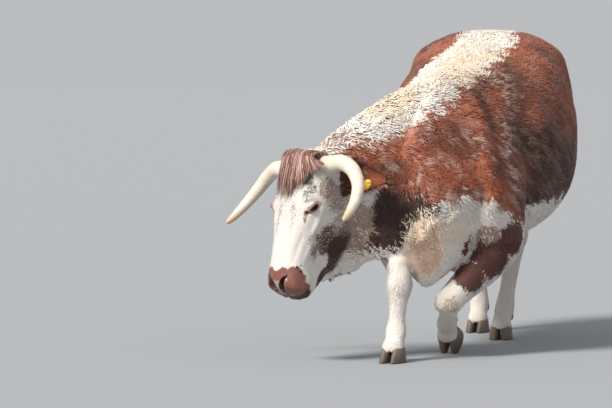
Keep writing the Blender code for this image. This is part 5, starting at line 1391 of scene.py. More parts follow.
def unwrapped(points, name):
    """Place of each root on an unwrap of the skin: its angle round the part's own path over a turn, and
    how far along the path it is."""
    animal = points - SHIFT
    if name in ("forelegs", "hind_legs"):
        # The left leg fills one half of the map and the right leg the other
        spots = np.zeros((len(points), 2))
        for leg, spec in LEGS.items():
            if leg.startswith("fore") != (name == "forelegs"):
                continue
            own = (animal[:, 0] > 0.0) == leg.endswith("left")
            path = leg_path(spec)
            around, along = around_path(animal, path)
            half = 0.5 * around + (0.5 if leg.endswith("left") else 0.0)
            spots[own] = np.stack([half, along], -1)[own]
        return spots
    if name in ("head", "ears"):
        local = moved(animal, ANIMAL_TO_HEAD)
        if name == "ears":
            _, share, side = ear_place(local)
            apart = local * mirror(side) - EAR_ROOT
            _, up, front = ear_axes()
            around = np.arctan2(apart @ front, apart @ up) / (2 * math.pi) + 0.5
            return np.stack([0.5 * around + 0.25 * (side + 1), np.clip(share / 1.1, 0, 1)], -1)
        around = np.arctan2(local[:, 0], local[:, 2] + 0.09) / (2 * math.pi) + 0.5
        return np.stack([around, np.clip((local[:, 1] + 0.56) / 0.64, 0, 1)], -1)
    paths = {"neck": [row[:3] for row in NECK], "dock": [row[:3] for row in TAIL],
             "torso": [(row[1], row[0], 0.88) for row in TRUNK]}
    around, along = around_path(animal, paths[name])
    return np.stack([around, along], -1)


def around_path(points, path):
    """Angle round a path over a turn, and place along it over its length."""
    step, foot, way = nearest_on(path, points)
    first = unit(np.cross(way, (0.31, 0.22, 0.92)))
    second = np.cross(way, first)
    apart = points - foot
    around = np.arctan2((apart * second).sum(-1), (apart * first).sum(-1)) / (2 * math.pi) + 0.5
    return around, step / (len(path) - 1)


def spread_evenly(spots):
    """Stretches a map's second axis so that it is filled evenly from 0 to 1."""
    low, high = spots.min(0), spots.max(0)
    return (spots - low) / np.maximum(high - low, 1e-9)


def double_areas(places, corners):
    """Twice the area of each triangle: |(b - a) x (c - a)|."""
    a, b, c = (places[corners[:, i]] for i in range(3))
    return np.linalg.norm(np.cross(b - a, c - a), axis=1)


def squared_to(ways, out):
    """The part of each way that is square to another, w - (w . out) out, at length 1."""
    return unit(ways - (ways * out).sum(-1, keepdims=True) * out)


def grown_paths(roots, way, out, length, share, rise, bend, sunk):
    """Paths of tufts: root + length (s way + rise out + bend s^2 out x way), the root sunk in the skin."""
    paths = (roots[:, None] + (length[:, None] * share)[..., None] * way[:, None]
             + (length[:, None] * rise)[..., None] * out[:, None]
             + (length * bend)[:, None, None] * (share**2)[:, None] * np.cross(out, way)[:, None])
    paths[:, 0] -= out * sunk
    return paths


def coat_of(name, skin_data):
    """The tufts of one part: roots drawn by area, paths along the lie of the coat, turned by noise."""
    number, count, rings, length, half, lift, wave = COATS[name]
    places, normals, corners, parts = skin_data
    rows = np.flatnonzero(parts == number)
    middle = sum(places[corners[rows, i]] for i in range(3)) / 3
    size = double_areas(places, corners[rows]) * bareness(middle, name)
    pick = rows[chance.choice(len(rows), count, p=size / size.sum())]
    mix = chance.dirichlet((1, 1, 1), count)
    roots = (places[corners[pick]] * mix[..., None]).sum(1)
    out = unit((normals[corners[pick]] * mix[..., None]).sum(1))
    lie = squared_to(lie_of_coat(roots, np.full(count, number)), out)
    across = np.cross(out, lie)
    animal = roots - SHIFT
    swirl = (soft_noise(animal, 0.038, 21) - 0.5) * 2 * wave + chance.normal(0, 0.16 + 0.16 * wave, count)
    way = lie * np.cos(swirl)[:, None] + across * np.sin(swirl)[:, None]
    length, half, lift = tuft_measures(animal, name, length, half, lift)
    length = length * chance.uniform(0.75, 1.25, count)
    share = np.linspace(0, 1, rings + 1)
    bend = wave * chance.uniform(-0.35, 0.35, count)
    rise = lift[:, None] * np.sin(share * math.pi * 0.60)
    paths = grown_paths(roots, way, out, length, share, rise, bend, 0.002)
    # The middle of a tuft, not its root, lies over what shows
    colours = coat_colour(roots + way * (0.55 * length)[:, None], chance.uniform(0, 1, count))
    varied = 0.05 if name == "head" else 0.10
    colours = colours * chance.uniform(1 - varied, 1 + varied, count)[:, None]
    taper = (0.75, 1.0, 0.7)[:rings]
    shade = (0.86, 1.0, 1.05) if rings == 2 else (0.84, 0.95, 1.02, 1.07)
    if name == "head":
        shade = (0.90, 1.0, 1.03)
    spots = unwrapped(roots, name)
    pieces = PARTS_OF_PIECE.get(name, 1)
    order = np.argsort(animal[:, 1], kind="stable") if name != "head" else np.argsort(
        moved(animal, ANIMAL_TO_HEAD)[:, 1], kind="stable")
    made = []
    for index, rows in enumerate(np.array_split(order, pieces)):
        label = f"coat_{name}" + (f"_{index + 1}" if pieces > 1 else "")
        thing = lock_object(label, paths[rows], np.repeat(out[rows, None], rings + 1, 1), half[rows],
                            half[rows] * 0.55, taper, colours[rows], shade, spread_evenly(spots[rows]))
        made.append((thing, COAT_SLOTS.get(name, "coat")))
    return made


def bareness(points, name):
    """How much of the coat grows at a place: none on the nose, the nostrils and the lids' edges."""
    if name != "head":
        return np.ones(len(points))
    head = moved(points - SHIFT, ANIMAL_TO_HEAD)
    nose = smooth_step(-0.486, -0.462, head[:, 1] + 0.45 * np.clip(np.abs(head[:, 0]) - 0.05, 0, 1))
    grown = np.where(head[:, 2] > -0.10, nose, smooth_step(-0.53, -0.50, head[:, 1]))
    for side in (1, -1):
        out, forward, rise = eye_local(head, side)
        apart = lid_distance(forward, rise)
        grown = grown * np.where(out > 0, smooth_step(1.35, 1.85, apart), 1)
    return grown + 1e-6


def tuft_measures(animal, name, length, half, lift):
    """Length, half width and lift at each root: short on face, feet and flank, long along the crest."""
    length = np.full(len(animal), length)
    half, lift = np.full(len(animal), half), np.full(len(animal), lift)
    if name in ("torso", "neck"):
        step, _, _, apart = from_back(animal)
        on_crest = smooth_step(0.20, 0.05, apart) * smooth_step(8.0, 5.0, step)
        length, lift = length * (1 + 0.45 * on_crest), lift * (1 + 0.5 * on_crest)
        low = smooth_step(0.62, 0.50, animal[:, 2])
        length = length * (1 - 0.35 * low)
    elif name == "head":
        head = moved(animal, ANIMAL_TO_HEAD)
        down = smooth_step(-0.12, -0.50, head[:, 1])
        length = length * (1.35 - 0.85 * down)
        half = half * (1.15 - 0.35 * down)
        near_eye = np.exp(-((np.linalg.norm(folded(head) - EYE_CENTRE, axis=1) / 0.045) ** 2))
        length = length * (1 - 0.5 * near_eye)
    elif name in ("forelegs", "hind_legs"):
        length = length * (0.75 + 0.5 * smooth_step(0.10, 0.45, animal[:, 2]))
    return length, half, lift


# Forelock, from the right to the left of the poll: where a lock starts and ends across the head, how far
# down the face it ends, and how high it stands over it at its end
FORELOCK = ((-0.066, -0.088, -0.118, 0.052), (-0.045, -0.062, -0.160, 0.062), (-0.012, -0.018, -0.172, 0.066),
            (0.020, 0.024, -0.160, 0.066), (0.046, 0.066, -0.118, 0.070), (0.064, 0.098, -0.084, 0.064),
            (0.080, 0.126, -0.046, 0.052), (0.088, 0.150, -0.014, 0.040))

# Locks: those of the forelock, round a horn, along the crest, in the tail's switch, on an ear with those
# inside its cup, and the lashes of an eye
FORELOCK_LOCKS = 900
HORN_BASE_LOCKS = 230
CREST_LOCKS = 1500
SWITCH_LOCKS = 260
FRINGE_LOCKS = 420
CUP_LOCKS = 190
LASHES = 34


def turned_to_animal(paths, out):
    """Lock paths and their outward ways from the head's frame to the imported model's."""
    return moved(paths, HEAD_TO_ANIMAL) + SHIFT, out @ HEAD_TURN.T


def lock_colours(count, first, second, share):
    """The first colour for a share of the locks, drawn by chance, and the second for the others."""
    return np.where(chance.uniform(0, 1, (count, 1)) < share, first, second)


def lock_piece(name, paths, out, half_width, thickness, taper, colour, shade):
    """Locks whose patches on OFBake lie in rows, one after another, since none overlaps another."""
    count = len(paths)
    half_width = np.zeros(count) + half_width
    across = int(math.ceil(math.sqrt(count)))
    number = np.arange(count)
    patch = np.stack([(number % across + 0.5) / across, (number // across + 0.5) / across], -1)
    return lock_object(name, paths, out, half_width, thickness, taper, colour, shade, patch)


def forelock():
    """Fine locks in three layers that rise from the poll, turn over its front and fan out to their ends."""
    count, steps = FORELOCK_LOCKS, 10
    place = np.clip(chance.uniform(0, 1, count) ** 0.9, 0, 1)
    start, end, down, above = between(FORELOCK, along=place * (len(FORELOCK) - 1)).T
    layer = chance.uniform(0, 1, count)
    shorter = chance.uniform(0.26, 1.14, count) ** 0.7
    clump = (soft_noise(np.stack([place * 9, layer * 2, 0 * place], -1), 1.0, 15) - 0.5) * 0.022
    root_y = 0.038 - 0.050 * layer
    root_z = 0.010 + 0.052 * smooth_step(0, 1, layer) - 0.18 * np.abs(start) * (1 - layer)
    peak = 0.092 + 0.012 * (1 - layer) - 2.6 * start**2
    zero = 0 * place
    end_y = down * shorter + chance.normal(0, 0.004, count)
    control = np.stack([
        np.stack([start, root_y, root_z], -1),
        np.stack([start + 0.15 * (end - start), root_y + 0.010, 0.5 * (root_z + peak) + 0.006], -1),
        np.stack([start + 0.35 * (end - start), 0.65 * root_y - 0.006, peak], -1),
        np.stack([start + 0.70 * (end - start) + clump, 0.50 * end_y + 0.004,
                  0.55 * peak + 0.45 * above + 0.006], -1),
        np.stack([end + 1.9 * clump + chance.normal(0, 0.004, count), end_y,
                  above + 0.006 * layer + zero], -1)])
    paths = between(control.reshape(5, -1), steps).reshape(steps, count, 3).transpose(1, 0, 2)
    share = np.linspace(0, 1, steps)
    wave = np.sin(share * 7 + chance.uniform(0, 6, (count, 1))) * share * 0.0030
    paths = paths + wave[..., None] * np.array((1.0, 0.3, 0.2))
    out = unit(paths - (0.0, -0.04, -0.02))
    first, second, paler = FORELOCK_COLOURS
    paler = paler + 0.2 * soft_noise(np.stack([place * 14, layer, zero], -1), 1.0, 16)
    colour = lock_colours(count, first, second, paler[:, None])
    colour = colour * chance.uniform(0.75, 1.25, (count, 1))
    paths, out = turned_to_animal(paths, out)
    taper = 0.5 + 0.5 * np.sin(math.pi * np.clip(share * 1.05, 0, 1))
    return lock_piece("forelock", paths, out, chance.uniform(0.0011, 0.0024, count),
                      0.0009, taper, colour, np.linspace(0.75, 1.10, steps))


def on_both_sides(grow):
    """Paths and outward ways that a function grows on the head's left, and again, mirrored, on its right."""
    grown = [[rows * (side, 1, 1) for rows in grow()] for side in (1, -1)]
    return turned_to_animal(*(np.concatenate(rows) for rows in zip(*grown)))


def horn_base_locks():
    """Locks round the left horn's root, on a ring (0, cos, sin), bowed by length sin(pi s) / 10."""
    count, share = HORN_BASE_LOCKS, np.linspace(0, 1, 7)
    turn = chance.uniform(0, 2 * math.pi, count)
    ring = np.stack([0 * turn, np.cos(turn), np.sin(turn)], -1)
    root = np.array((0.050, 0.0, -0.004)) + ring * (HORN_BASE_RADIUS + 0.003)
    root[:, 0] -= chance.uniform(0.0, 0.022, count)
    way = unit(np.array((1.0, 0, 0)) + 0.30 * ring + chance.normal(0, 0.16, (count, 3)))
    length = chance.uniform(0.026, 0.050, count)
    paths = root[:, None] + (length[:, None] * share)[..., None] * way[:, None]
    paths = paths + (length[:, None] * 0.10 * np.sin(math.pi * share))[..., None] * ring[:, None]
    return paths, np.repeat(ring[:, None], len(share), 1)


def horn_base_hair():
    """Short locks round the root of each horn: they leave the poll outwards and lie along the horn."""
    paths, out = on_both_sides(horn_base_locks)
    count, steps = paths.shape[:2]
    colour = lock_colours(count, *HORN_BASE_COLOURS) * chance.uniform(0.8, 1.2, (count, 1))
    taper = 0.55 + 0.45 * np.sin(math.pi * np.linspace(0, 1, steps))
    return lock_piece("horn_base_hair", paths, out, 0.0020, 0.0010, taper, colour,
                      np.linspace(0.8, 1.08, steps))


def crest(skin_data):
    """Curled tufts along the top of the neck and the shoulders: each bends over to its own side."""
    places, normals, corners, parts = skin_data
    middle = places[corners].mean(1)
    animal = middle - SHIFT
    step, _, _, apart = from_back(animal)
    grown = smooth_step(0.17, 0.02, apart) * smooth_step(8.5, 4.5, step) * (parts <= 1)
    size = double_areas(places, corners) * grown
    count = CREST_LOCKS
    pick = chance.choice(len(corners), count, p=size / size.sum())
    roots, out = middle[pick], unit(normals[corners[pick]].mean(1))
    lie = lie_of_coat(roots, parts[pick])
    side = np.cross(out, lie)
    turn = (soft_noise(roots, 0.05, 31) - 0.5) * 3.4 + chance.normal(0, 0.5, count)
    lie = squared_to(lie, out)
    way = lie * np.cos(turn)[:, None] + unit(side) * np.sin(turn)[:, None]
    length = chance.uniform(0.030, 0.056, count) * (0.6 + 0.4 * grown[pick])
    share = np.linspace(0, 1, 6)
    curl = chance.choice((-1, 1), count) * chance.uniform(0.15, 0.5, count)
    paths = grown_paths(roots, way, out, length, share, 0.42 * np.sin(math.pi * 0.75 * share), curl, 0.003)
    colour = coat_colour(roots + way * (0.4 * length)[:, None], chance.uniform(0.3, 1, count))
    colour = colour * chance.uniform(0.92, 1.08, (count, 1))
    return lock_piece("crest_curls", paths, np.repeat(out[:, None], 6, 1),
                      chance.uniform(0.0024, 0.0040, count), 0.0020, 0.6 + 0.4 * np.sin(math.pi * share),
                      colour, np.linspace(0.78, 1.08, 6))


def tail_switch():
    """Long locks that leave the dock on every side and hang to a loose point."""
    count, steps = SWITCH_LOCKS, 10
    top, tip = np.array(SWITCH_TOP), np.array(SWITCH_TIP)
    start = chance.uniform(-0.05, 0.55, count)
    end = np.clip(start + chance.uniform(0.35, 0.62, count), 0, chance.uniform(0.85, 1.02, count))
    turn = chance.uniform(0, 2 * math.pi, count)
    out = np.stack([np.cos(turn), np.sin(turn), 0 * turn], -1)
    share = np.linspace(0, 1, steps)
    drop = start[:, None] + (end - start)[:, None] * share
    bulge = 0.008 + 0.026 * np.sin(math.pi * np.clip(share * 0.8, 0, 1)) * chance.uniform(
        0.4, 1.1, (count, 1))
    wave = 0.004 * np.sin(share * 8 + chance.uniform(0, 6, (count, 1)))
    other = np.stack([-out[:, 1], out[:, 0], out[:, 2]], -1)
    paths = (top + SHIFT + drop[..., None] * (tip - top) + bulge[..., None] * out[:, None]
             + wave[..., None] * other[:, None])
    colour = lock_colours(count, *SWITCH_COLOURS)
    colour = colour * chance.uniform(0.8, 1.12, (count, 1))
    return lock_piece("tail_switch_locks", paths, np.repeat(out[:, None], steps, 1),
                      chance.uniform(0.003, 0.0055, count), 0.0022,
                      0.5 + 0.5 * np.sin(math.pi * np.clip(share * 1.15, 0, 1)), colour,
                      np.linspace(0.7, 1.1, steps))


def fringe_locks():
    """Locks on the left ear's edges and in its cup: each leaves the skin and sinks by 0.3 length s^2."""
    count, share = FRINGE_LOCKS, np.linspace(0, 1, 6)
    place = chance.uniform(0.05, 0.95, count)
    edge = np.where(chance.uniform(0, 1, count) < 0.5, -1.0, 1.0) * chance.uniform(0.72, 0.98, count)
    edge[:CUP_LOCKS] = chance.uniform(-0.75, 0.75, CUP_LOCKS)
    place[:CUP_LOCKS] *= 0.8
    root, normal = ear_surface(place, edge)
    along, up, _ = ear_axes()
    sideways = np.sign(edge)[:, None] * up
    way = unit(0.9 * along + 0.55 * sideways * (np.abs(edge) > 0.65)[:, None] + 0.35 * normal
               + chance.normal(0, 0.12, (count, 3)))
    length = chance.uniform(0.018, 0.034, count)
    paths = root[:, None] - normal[:, None] * 0.003 + (length[:, None] * share)[..., None] * way[:, None]
    paths = paths - (length[:, None] * 0.3 * share**2)[..., None] * up
    return paths, np.repeat(normal[:, None], len(share), 1)


def ear_fringe():
    """Hair along the edges of both ears and inside their cups: each lock leaves the edge outwards."""
    paths, out = on_both_sides(fringe_locks)
    count, steps = paths.shape[:2]
    colour = lock_colours(count, *FRINGE_COLOURS)
    return lock_piece("ear_fringe", paths, out, 0.0015, 0.0008, np.linspace(1, 0.5, steps), colour,
                      np.linspace(0.7, 1.1, steps))


def lashes():
    """Lashes on the left eye's upper lid: each leaves its edge and droops by 0.35 length s^2."""
    count, share = LASHES, np.linspace(0, 1, 6)
    turn = np.linspace(0.16, 0.84, count) * math.pi + chance.normal(0, 0.01, count)
    forward, rise = opening(turn)
    root = np.stack([np.sqrt((EYE_RADIUS + 0.002) ** 2 - forward**2 - rise**2), forward, rise], -1)
    length = chance.uniform(0.009, 0.015, count)
    way = unit(root * (1.0, 0.5, 0.9) + chance.normal(0, 0.0015, (count, 3)))
    local = (root[:, None] + (length[:, None] * share)[..., None] * way[:, None]
             - (length[:, None] * 0.35 * share**2)[..., None] * np.array((0, 0, 1.0)))
    paths = from_eye(local[..., 0], local[..., 1], local[..., 2], 1)
    return paths, unit(paths - EYE_CENTRE)


def eyelashes():
    """Lashes on the upper lids of both eyes: they leave the lid outwards, then droop over the eye."""
    paths, out = on_both_sides(lashes)
    count, steps = paths.shape[:2]
    colour = np.tile(LASH_COLOUR, (count, 1)) * chance.uniform(0.6, 1.6, (count, 1))
    return lock_piece("eyelashes", paths, out, 0.0006, 0.0005, np.linspace(1, 0.5, steps), colour,
                      np.linspace(1.0, 1.1, steps))


def eyeball(side):
    """A sphere with a raised cornea; the pupil is a level oval, round it the iris and the pale white."""
    rings = round_rings((EYE_RADIUS,) * 3, 60, 72)
    look = unit(np.array(EYE_LOOK) * (side, 1, 1))
    ways = unit(rings)
    angle = np.arccos(np.clip(ways @ look, -1, 1))
    rings = rings * (1 + 0.045 * np.exp(-((angle / 0.55) ** 2)))[..., None]
    points, quads, tris = closed_tube(rings)
    made = object_from("eyeball_" + HANDS[side],
                       [placed((points + np.array(EYE_CENTRE) * (side, 1, 1), quads, tris), HEAD_TO_ANIMAL)])
    ways = unit(points)
    angle = np.arccos(np.clip(ways @ look, -1, 1))
    _, forward, rise = eye_local(ways * EYE_RADIUS + np.array(EYE_CENTRE) * (side, 1, 1), side)
    pupil = np.hypot(forward / PUPIL_REACH[0], rise / PUPIL_REACH[1]) < 1
    pupil &= angle < 1
    rays = 0.75 + 0.5 * soft_noise(ways, 0.09, 41)
    colour = np.where((angle < IRIS_EDGE)[:, None], np.array(IRIS) * rays[:, None],
                      EYE_WHITE)
    colour = np.where((np.abs(angle - IRIS_EDGE) < 0.07)[:, None], IRIS_RIM, colour)
    paint(made, np.where(pupil[:, None], PUPIL, colour))
    return made


def horn(side):
    """A horn: round sections along its path, radius tip + (base - tip)(1 - s)^0.6, ringed near its root."""
    rows = between(HORN_PATH, HORN_STEPS)
    share = np.linspace(0, 1, len(rows))
    radius = HORN_TIP_RADIUS + (HORN_BASE_RADIUS - HORN_TIP_RADIUS) * (1 - share) ** 0.6
    fade = smooth_step(0.75, 0.05, share)
    radius = radius * (1 + 0.004 * fade * np.sin(share * HORN_RINGS) + 0.008 * fade * np.sin(share * 41 + 1))
    radius[-8:] *= np.sqrt(np.clip(1 - np.linspace(0, 1, 8) ** 2, 0.02, 1))
    along = unit(np.gradient(rows, axis=0))
    first = unit(np.cross(along, (0, 0, 1.0)))
    second = np.cross(along, first)
    turn = full_turn(HORN_SIDES)
    rings = rows[:, None] + radius[:, None, None] * (np.cos(turn)[:, None] * first[:, None]
                                                     + np.sin(turn)[:, None] * second[:, None])
    grain = layered_noise(rings.reshape(-1, 3) * (0.25, 1, 1), 0.010, 51).reshape(rings.shape[:2])
    rings = rows[:, None] + (rings - rows[:, None]) * (1 + 0.02 * (grain - 0.5) * fade[:, None])[..., None]
    rings = rings * (side, 1, 1)
    if side < 0:
        droop = Matrix.Translation((0, -RIGHT_HORN_DROP, 0)) @ Matrix.Rotation(RIGHT_HORN_DROOP, 4, "Z")
        rings = moved(rings, droop)
    made = object_from("horn_sheath_" + HANDS[side],
                       [placed(closed_tube(rings), HEAD_TO_ANIMAL)])
    share = np.append(np.repeat(share, HORN_SIDES), (0, 1))
    grain = np.append(grain.ravel(), (0.5, 0.5))
    rings_tone = 0.975 + 0.025 * np.sin(share * HORN_RINGS + 4)
    colour = mixed(np.tile(IVORY, (len(share), 1)), HORN_ROOT,
                   smooth_step(0.20, 0.02, share) * (0.25 + 0.7 * grain))
    colour = mixed(colour, HORN_TIP, smooth_step(0.72, 1.0, share) * 0.75)
    colour = colour * (rings_tone * (0.86 + 0.28 * grain))[:, None]
    paint(made, colour)
    return made


def claw(name, side, foot):
    """A claw: levels from the coronet to the sole, the toe's reach coronet + (sole - coronet) low^0.9,
    faint growth rings, and the floor as its lowest level."""
    low = np.concatenate([np.linspace(0, 0.92, 26), [0.95, 0.975, 0.99, 1.0]])[:, None]
    turn = full_turn(40)
    cosine, sine = np.cos(turn), np.sin(turn)
    edge = 0.004 * smooth_step(0.94, 1.0, low)
    ringed = 1 + 0.010 * np.sin(low * CLAW_RINGS) * (low < 0.9)
    toe = (CORONET_TOE + (CLAW_TOE - CORONET_TOE) * low**0.9) * ringed - edge
    heel = (CORONET_HEEL + (CLAW_HEEL - CORONET_HEEL) * np.sin(math.pi * 0.5 * low)) * ringed - edge
    width = CLAW_HALF_WIDTH * (0.84 + 0.16 * low) * ringed - 0.5 * edge
    ahead = np.where(sine < 0, -toe * np.abs(sine) ** 0.95, heel * np.abs(sine) ** 0.8)
    narrow = 1 - np.where(cosine * side > 0, 0.34, 0.10) * np.clip(-sine, 0, 1) ** 2
    across = side * CLAW_OFFSET * (0.90 + 0.10 * low) + width * cosine * narrow
    across = across - side * 0.004 * np.clip(-sine, 0, 1) ** 2 * low
    rings = np.stack([across, ahead, -low * CLAW_HEIGHT + 0 * cosine], -1)
    points, quads, tris = closed_tube(rings)
    world = moved(points, foot_matrix(foot))
    world[:, 2] = np.maximum(world[:, 2], 0.0)
    made = object_from(name, [placed((world, quads, tris))])
    tone = 0.8 + 0.4 * layered_noise(points * (1, 1, 0.3), 0.006, 61)
    height = np.clip(-points[:, 2] / CLAW_HEIGHT, 0, 1)
    colour = mixed(np.array(CLAW_ABOVE), CLAW_BELOW, height)
    colour = colour * (tone * (0.92 + 0.08 * np.sin(height * CLAW_RINGS)))[:, None]
    paint(made, colour)
    return made


def dewclaw(name, node):
    """A small blunt claw at its node's place: an ellipsoid, a little squared, that fills the node's box."""
    low, high = (np.array(corner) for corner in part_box(node))
    rings = round_rings((0.5, 0.5, 0.5), 18, 24)
    rings = np.sign(rings) * np.abs(rings) ** 0.92 * (high - low) + (high + low) / 2
    points, quads, tris = facing_out(*closed_tube(rings))
    made = object_from(name, [(points, quads, tris)])
    tone = 0.8 + 0.4 * layered_noise(points, 0.006, 62)
    paint(made, np.array(DEWCLAW) * tone[:, None])
    return made


def tag_frame():
    """The tag's own frame on the left ear: across, down and out from its inner face."""
    point, normal = ear_surface(np.array([TAG_ALONG_EAR]), np.array([TAG_ACROSS_EAR]))
    normal = Vector(normal[0]).normalized()
    down = -Vector(EAR_UP).normalized()
    down = (down - down.dot(normal) * normal).normalized()
    turned = Matrix((normal.cross(down), down, normal)).transposed().to_4x4()
    return HEAD_TO_ANIMAL @ Matrix.Translation(point[0]) @ turned


def turned_profile(profile):
    """A profile turned about the tag's axis: (radius cos, radius sin, height)."""
    radius, height = np.array(profile).T[:, :, None]
    turn = full_turn(40)
    return closed_tube(np.stack([radius * np.cos(turn), radius * np.sin(turn), height + 0 * turn], -1))


def tag_panel():
    """A blank panel with rounded corners and edges, a raised round at its neck, and a domed button."""
    cosine, sine = superellipse(72, 4.5)
    depth = np.array([0.0, 0.0, 0.0005, 0.0024, 0.0029, 0.0030])[:, None]
    scale = np.array([0.5, 0.97, 1.0, 1.0, 0.975, 0.5])[:, None]
    narrow = 1 - 0.16 * smooth_step(0.4, -1.0, sine)
    bow = 0.0016 * (1 - cosine**2)
    panel = np.stack([cosine * narrow * scale * TAG_WIDTH / 2,
                      TAG_HEIGHT * 0.36 + sine * scale * TAG_HEIGHT / 2,
                      0.004 + depth + bow * scale], -1)
    shapes = [closed_tube(panel)]
    shapes.append(turned_profile(BUTTON_PROFILE))
    return object_from("tag_panel", [placed(shape, tag_frame()) for shape in shapes])


def tag_stud():
    """The stud behind the ear: a thin disc with a rounded rim and a short cone."""
    return object_from("tag_stud", [placed(turned_profile(STUD_PROFILE), tag_frame())])


def node(tree, kind, **values):
    """A shader node with its inputs set by name."""
    made = tree.nodes.new(kind)
    for key, value in values.items():
        if key in made.inputs:
            made.inputs[key].default_value = value
        else:
            setattr(made, key, value)
    return made


def finish(name, roughness, grain, bump, attribute=True, colour=(0.8, 0.8, 0.8), uneven=0.25, sheen=0.0,
           coat=0.0):
    """A surface whose colour, the attribute's or one of its own, is made uneven by noise on Object
    coordinates, and whose bump and roughness follow a finer noise of a grain in metres."""
    made = bpy.data.materials.new(name)
    made.use_nodes = True
    tree = made.node_tree
    shader = tree.nodes["Principled BSDF"]
    shader.inputs["Sheen Weight"].default_value = sheen
    shader.inputs["Coat Weight"].default_value = coat
    coordinates = node(tree, "ShaderNodeTexCoord")
    fine = node(tree, "ShaderNodeTexNoise", Scale=1 / grain, Detail=4.0, Roughness=0.6)
    broad = node(tree, "ShaderNodeTexNoise", Scale=0.12 / grain, Detail=3.0, Roughness=0.5)
    for texture in (fine, broad):
        tree.links.new(coordinates.outputs["Object"], texture.inputs["Vector"])
    tone = node(tree, "ShaderNodeMapRange")
    tone.inputs["To Min"].default_value = 1 - uneven
    tone.inputs["To Max"].default_value = 1 + uneven
    tree.links.new(fine.outputs["Fac"], tone.inputs["Value"])
    shaded = node(tree, "ShaderNodeVectorMath", operation="SCALE")
    if attribute:
        source = node(tree, "ShaderNodeAttribute", attribute_name="coat_colour")
        tree.links.new(source.outputs["Color"], shaded.inputs[0])
    else:
        shaded.inputs[0].default_value = colour
    tree.links.new(tone.outputs["Result"], shaded.inputs["Scale"])
    tree.links.new(shaded.outputs["Vector"], shader.inputs["Base Color"])
    rough = node(tree, "ShaderNodeMapRange")
    rough.inputs["To Min"].default_value = max(roughness - 0.10, 0.02)
    rough.inputs["To Max"].default_value = min(roughness + 0.10, 1.0)
    tree.links.new(broad.outputs["Fac"], rough.inputs["Value"])
    wet = node(tree, "ShaderNodeAttribute", attribute_name="wet")
    smoother = node(tree, "ShaderNodeMath", operation="MULTIPLY_ADD")
    smoother.inputs[1].default_value = -0.28
    tree.links.new(wet.outputs["Fac"], smoother.inputs[0])
    tree.links.new(rough.outputs["Result"], smoother.inputs[2])
    tree.links.new(smoother.outputs["Value"], shader.inputs["Roughness"])
    raised = node(tree, "ShaderNodeBump", Strength=bump, Distance=grain)
    tree.links.new(fine.outputs["Fac"], raised.inputs["Height"])
    tree.links.new(raised.outputs["Normal"], shader.inputs["Normal"])
    return made


def wetted(skin, places):
    """Sets the attribute wet to 1 on the bare nose, the nostrils and the lids' edges, and to 0 elsewhere."""
    head = moved(places - SHIFT, ANIMAL_TO_HEAD)
    wet = smooth_step(-0.470, -0.490, head[:, 1]) * (np.abs(head[:, 0]) < 0.15) * (head[:, 2] > -0.12)
    for side in (1, -1):
        out, forward, rise = eye_local(head, side)
        apart = np.hypot(forward / OPENING[0], rise / OPENING[1])
        wet = np.maximum(wet, (out > 0) * smooth_step(1.5, 1.2, apart))
    layer = skin.data.attributes.new("wet", "FLOAT", "POINT")
    layer.data.foreach_set("value", wet.astype(np.float32))


def keep(thing, material, slot, *nodes):
    """Gives a piece its finish and its body, and hides the nodes that it stands for; the slot is not used."""
    thing.data.materials.clear()
    thing.data.materials.append(material)
    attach(thing, "root")
    if nodes:
        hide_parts(*nodes)
    return thing


# Light: the sun's strength, apparent size, colour and the way that it comes from, and the even surround
SUN_STRENGTH = 4.35
SUN_SPREAD = math.radians(16)
SUN_COLOUR = (1.0, 0.955, 0.89)
SUN_FROM = (-3.2, -5.6, 6.0)
SURROUND_COLOUR = (0.95, 0.975, 1.0)
SURROUND_STRENGTH = 0.52
FLOOR_COLOUR = (0.3272, 0.3439, 0.3673)
FLOOR_REACH = 200

# Camera: its lens and sensor in millimetres, its distance, swing round the animal and height, and its pitch
# and yaw
LENS = 188.8
SENSOR = 36.0
CAMERA_AWAY = 14
CAMERA_SWING = math.radians(12)
CAMERA_HEIGHT = 1.2
CAMERA_PITCH = math.radians(87.65)
CAMERA_YAW = math.radians(14.8)


def studio():
    """A pale floor, a large soft sun from the upper left, an even pale surround, and the camera."""
    floor = bpy.data.meshes.new("floor")
    corners = [(x * FLOOR_REACH, y * FLOOR_REACH, 0) for x, y in ((-1, -1), (1, -1), (1, 1), (-1, 1))]
    floor.from_pydata(corners, [], [(0, 1, 2, 3)])
    floor = bpy.data.objects.new("floor", floor)
    bpy.context.scene.collection.objects.link(floor)
    floor.data.materials.append(finish("pale_floor", 0.95, 0.02, 0.02, False, FLOOR_COLOUR, 0.02))
    world = bpy.data.worlds.new("studio")
    bpy.context.scene.world = world
    world.use_nodes = True
    world.node_tree.nodes["Background"].inputs["Color"].default_value = (*SURROUND_COLOUR, 1)
    world.node_tree.nodes["Background"].inputs["Strength"].default_value = SURROUND_STRENGTH
    lamp = bpy.data.lights.new("soft_sun", "SUN")
    lamp.energy, lamp.angle, lamp.color = SUN_STRENGTH, SUN_SPREAD, SUN_COLOUR
    sun = bpy.data.objects.new("soft_sun", lamp)
    sun.rotation_euler = Vector(SUN_FROM).to_track_quat("Z", "Y").to_euler()
    bpy.context.scene.collection.objects.link(sun)
    bpy.context.scene.view_settings.view_transform = "Standard"
    lens = bpy.data.cameras.new("camera")
    lens.lens, lens.sensor_width = LENS, SENSOR
    camera = bpy.data.objects.new("camera", lens)
    camera.location = (CAMERA_AWAY * math.sin(CAMERA_SWING) + SHIFT[0],
                       -CAMERA_AWAY * math.cos(CAMERA_SWING) + SHIFT[1], CAMERA_HEIGHT)
    camera.rotation_euler = (CAMERA_PITCH, 0, CAMERA_YAW)
    bpy.context.scene.collection.objects.link(camera)
    bpy.context.scene.camera = camera


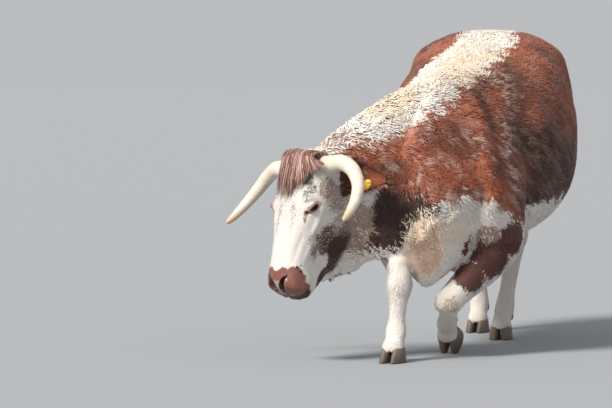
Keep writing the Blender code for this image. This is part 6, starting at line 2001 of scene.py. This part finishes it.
def main():
    """Skin, coat, locks, eyes, horns, claws and tag, each with its finish, its nodes hidden, and the studio.
    """
    skin = full_skin()
    places, normals = vertices_of(skin)
    corners = triangles_of(skin)
    parts = body_part(places[corners].mean(1))
    skin_data = (places, normals, corners, parts)
    paint(skin, coat_colour(places, 0.25 + 0.5 * layered_noise(places, 0.009, 71)) * 0.92)
    wetted(skin, places)
    hide = finish("hide_under_the_coat", 0.80, 0.004, 0.25)
    hair = finish("coat_hair", 0.66, 0.010, 0.1, uneven=0.12, sheen=0.06)
    wet = finish("wet_eye", 0.24, 0.004, 0.0, uneven=0.10)
    wet.node_tree.nodes["Principled BSDF"].inputs["Specular IOR Level"].default_value = 0.16
    ivory = finish("horn_sheath", 0.36, 0.003, 0.12, uneven=0.06, coat=0.15)
    hoof = finish("claw_horn", 0.50, 0.002, 0.25, uneven=0.15)
    yellow = finish("worn_yellow_plastic", 0.42, 0.004, 0.15, False, TAG_YELLOW, 0.18, coat=0.1)
    flesh = ["torso", "neck", "head", "tail", "ear_left", "ear_right"]
    flesh += [leg + length for leg in LEGS for length in ("_upper", "_lower")]
    keep(skin, hide, "coat", *flesh)
    for name in COATS:
        for thing, slot in coat_of(name, skin_data):
            keep(thing, hair, slot)
    keep(forelock(), hair, "coat")
    keep(horn_base_hair(), hair, "coat")
    keep(crest(skin_data), hair, "coat")
    keep(tail_switch(), hair, "coat", "tail_switch")
    keep(ear_fringe(), hair, "coat")
    keep(eyelashes(), hair, "face")
    for side, word in HANDS.items():
        keep(eyeball(side), wet, "eye", "eye_" + word)
        keep(horn(side), ivory, "horn", "horn_" + word)
        for leg, spec in LEGS.items():
            keep(claw(f"hoof_{leg}_{word}", side, spec["foot"]), hoof, "hoof", f"claw_{leg}_{word}")
            keep(dewclaw(f"spur_{leg}_{word}", f"dewclaw_{leg}_{word}"), hoof, "hoof",
                 f"dewclaw_{leg}_{word}")
    keep(tag_panel(), yellow, "tag", "ear_tag_panel")
    keep(tag_stud(), yellow, "tag", "ear_tag_stud")
    studio()


main()
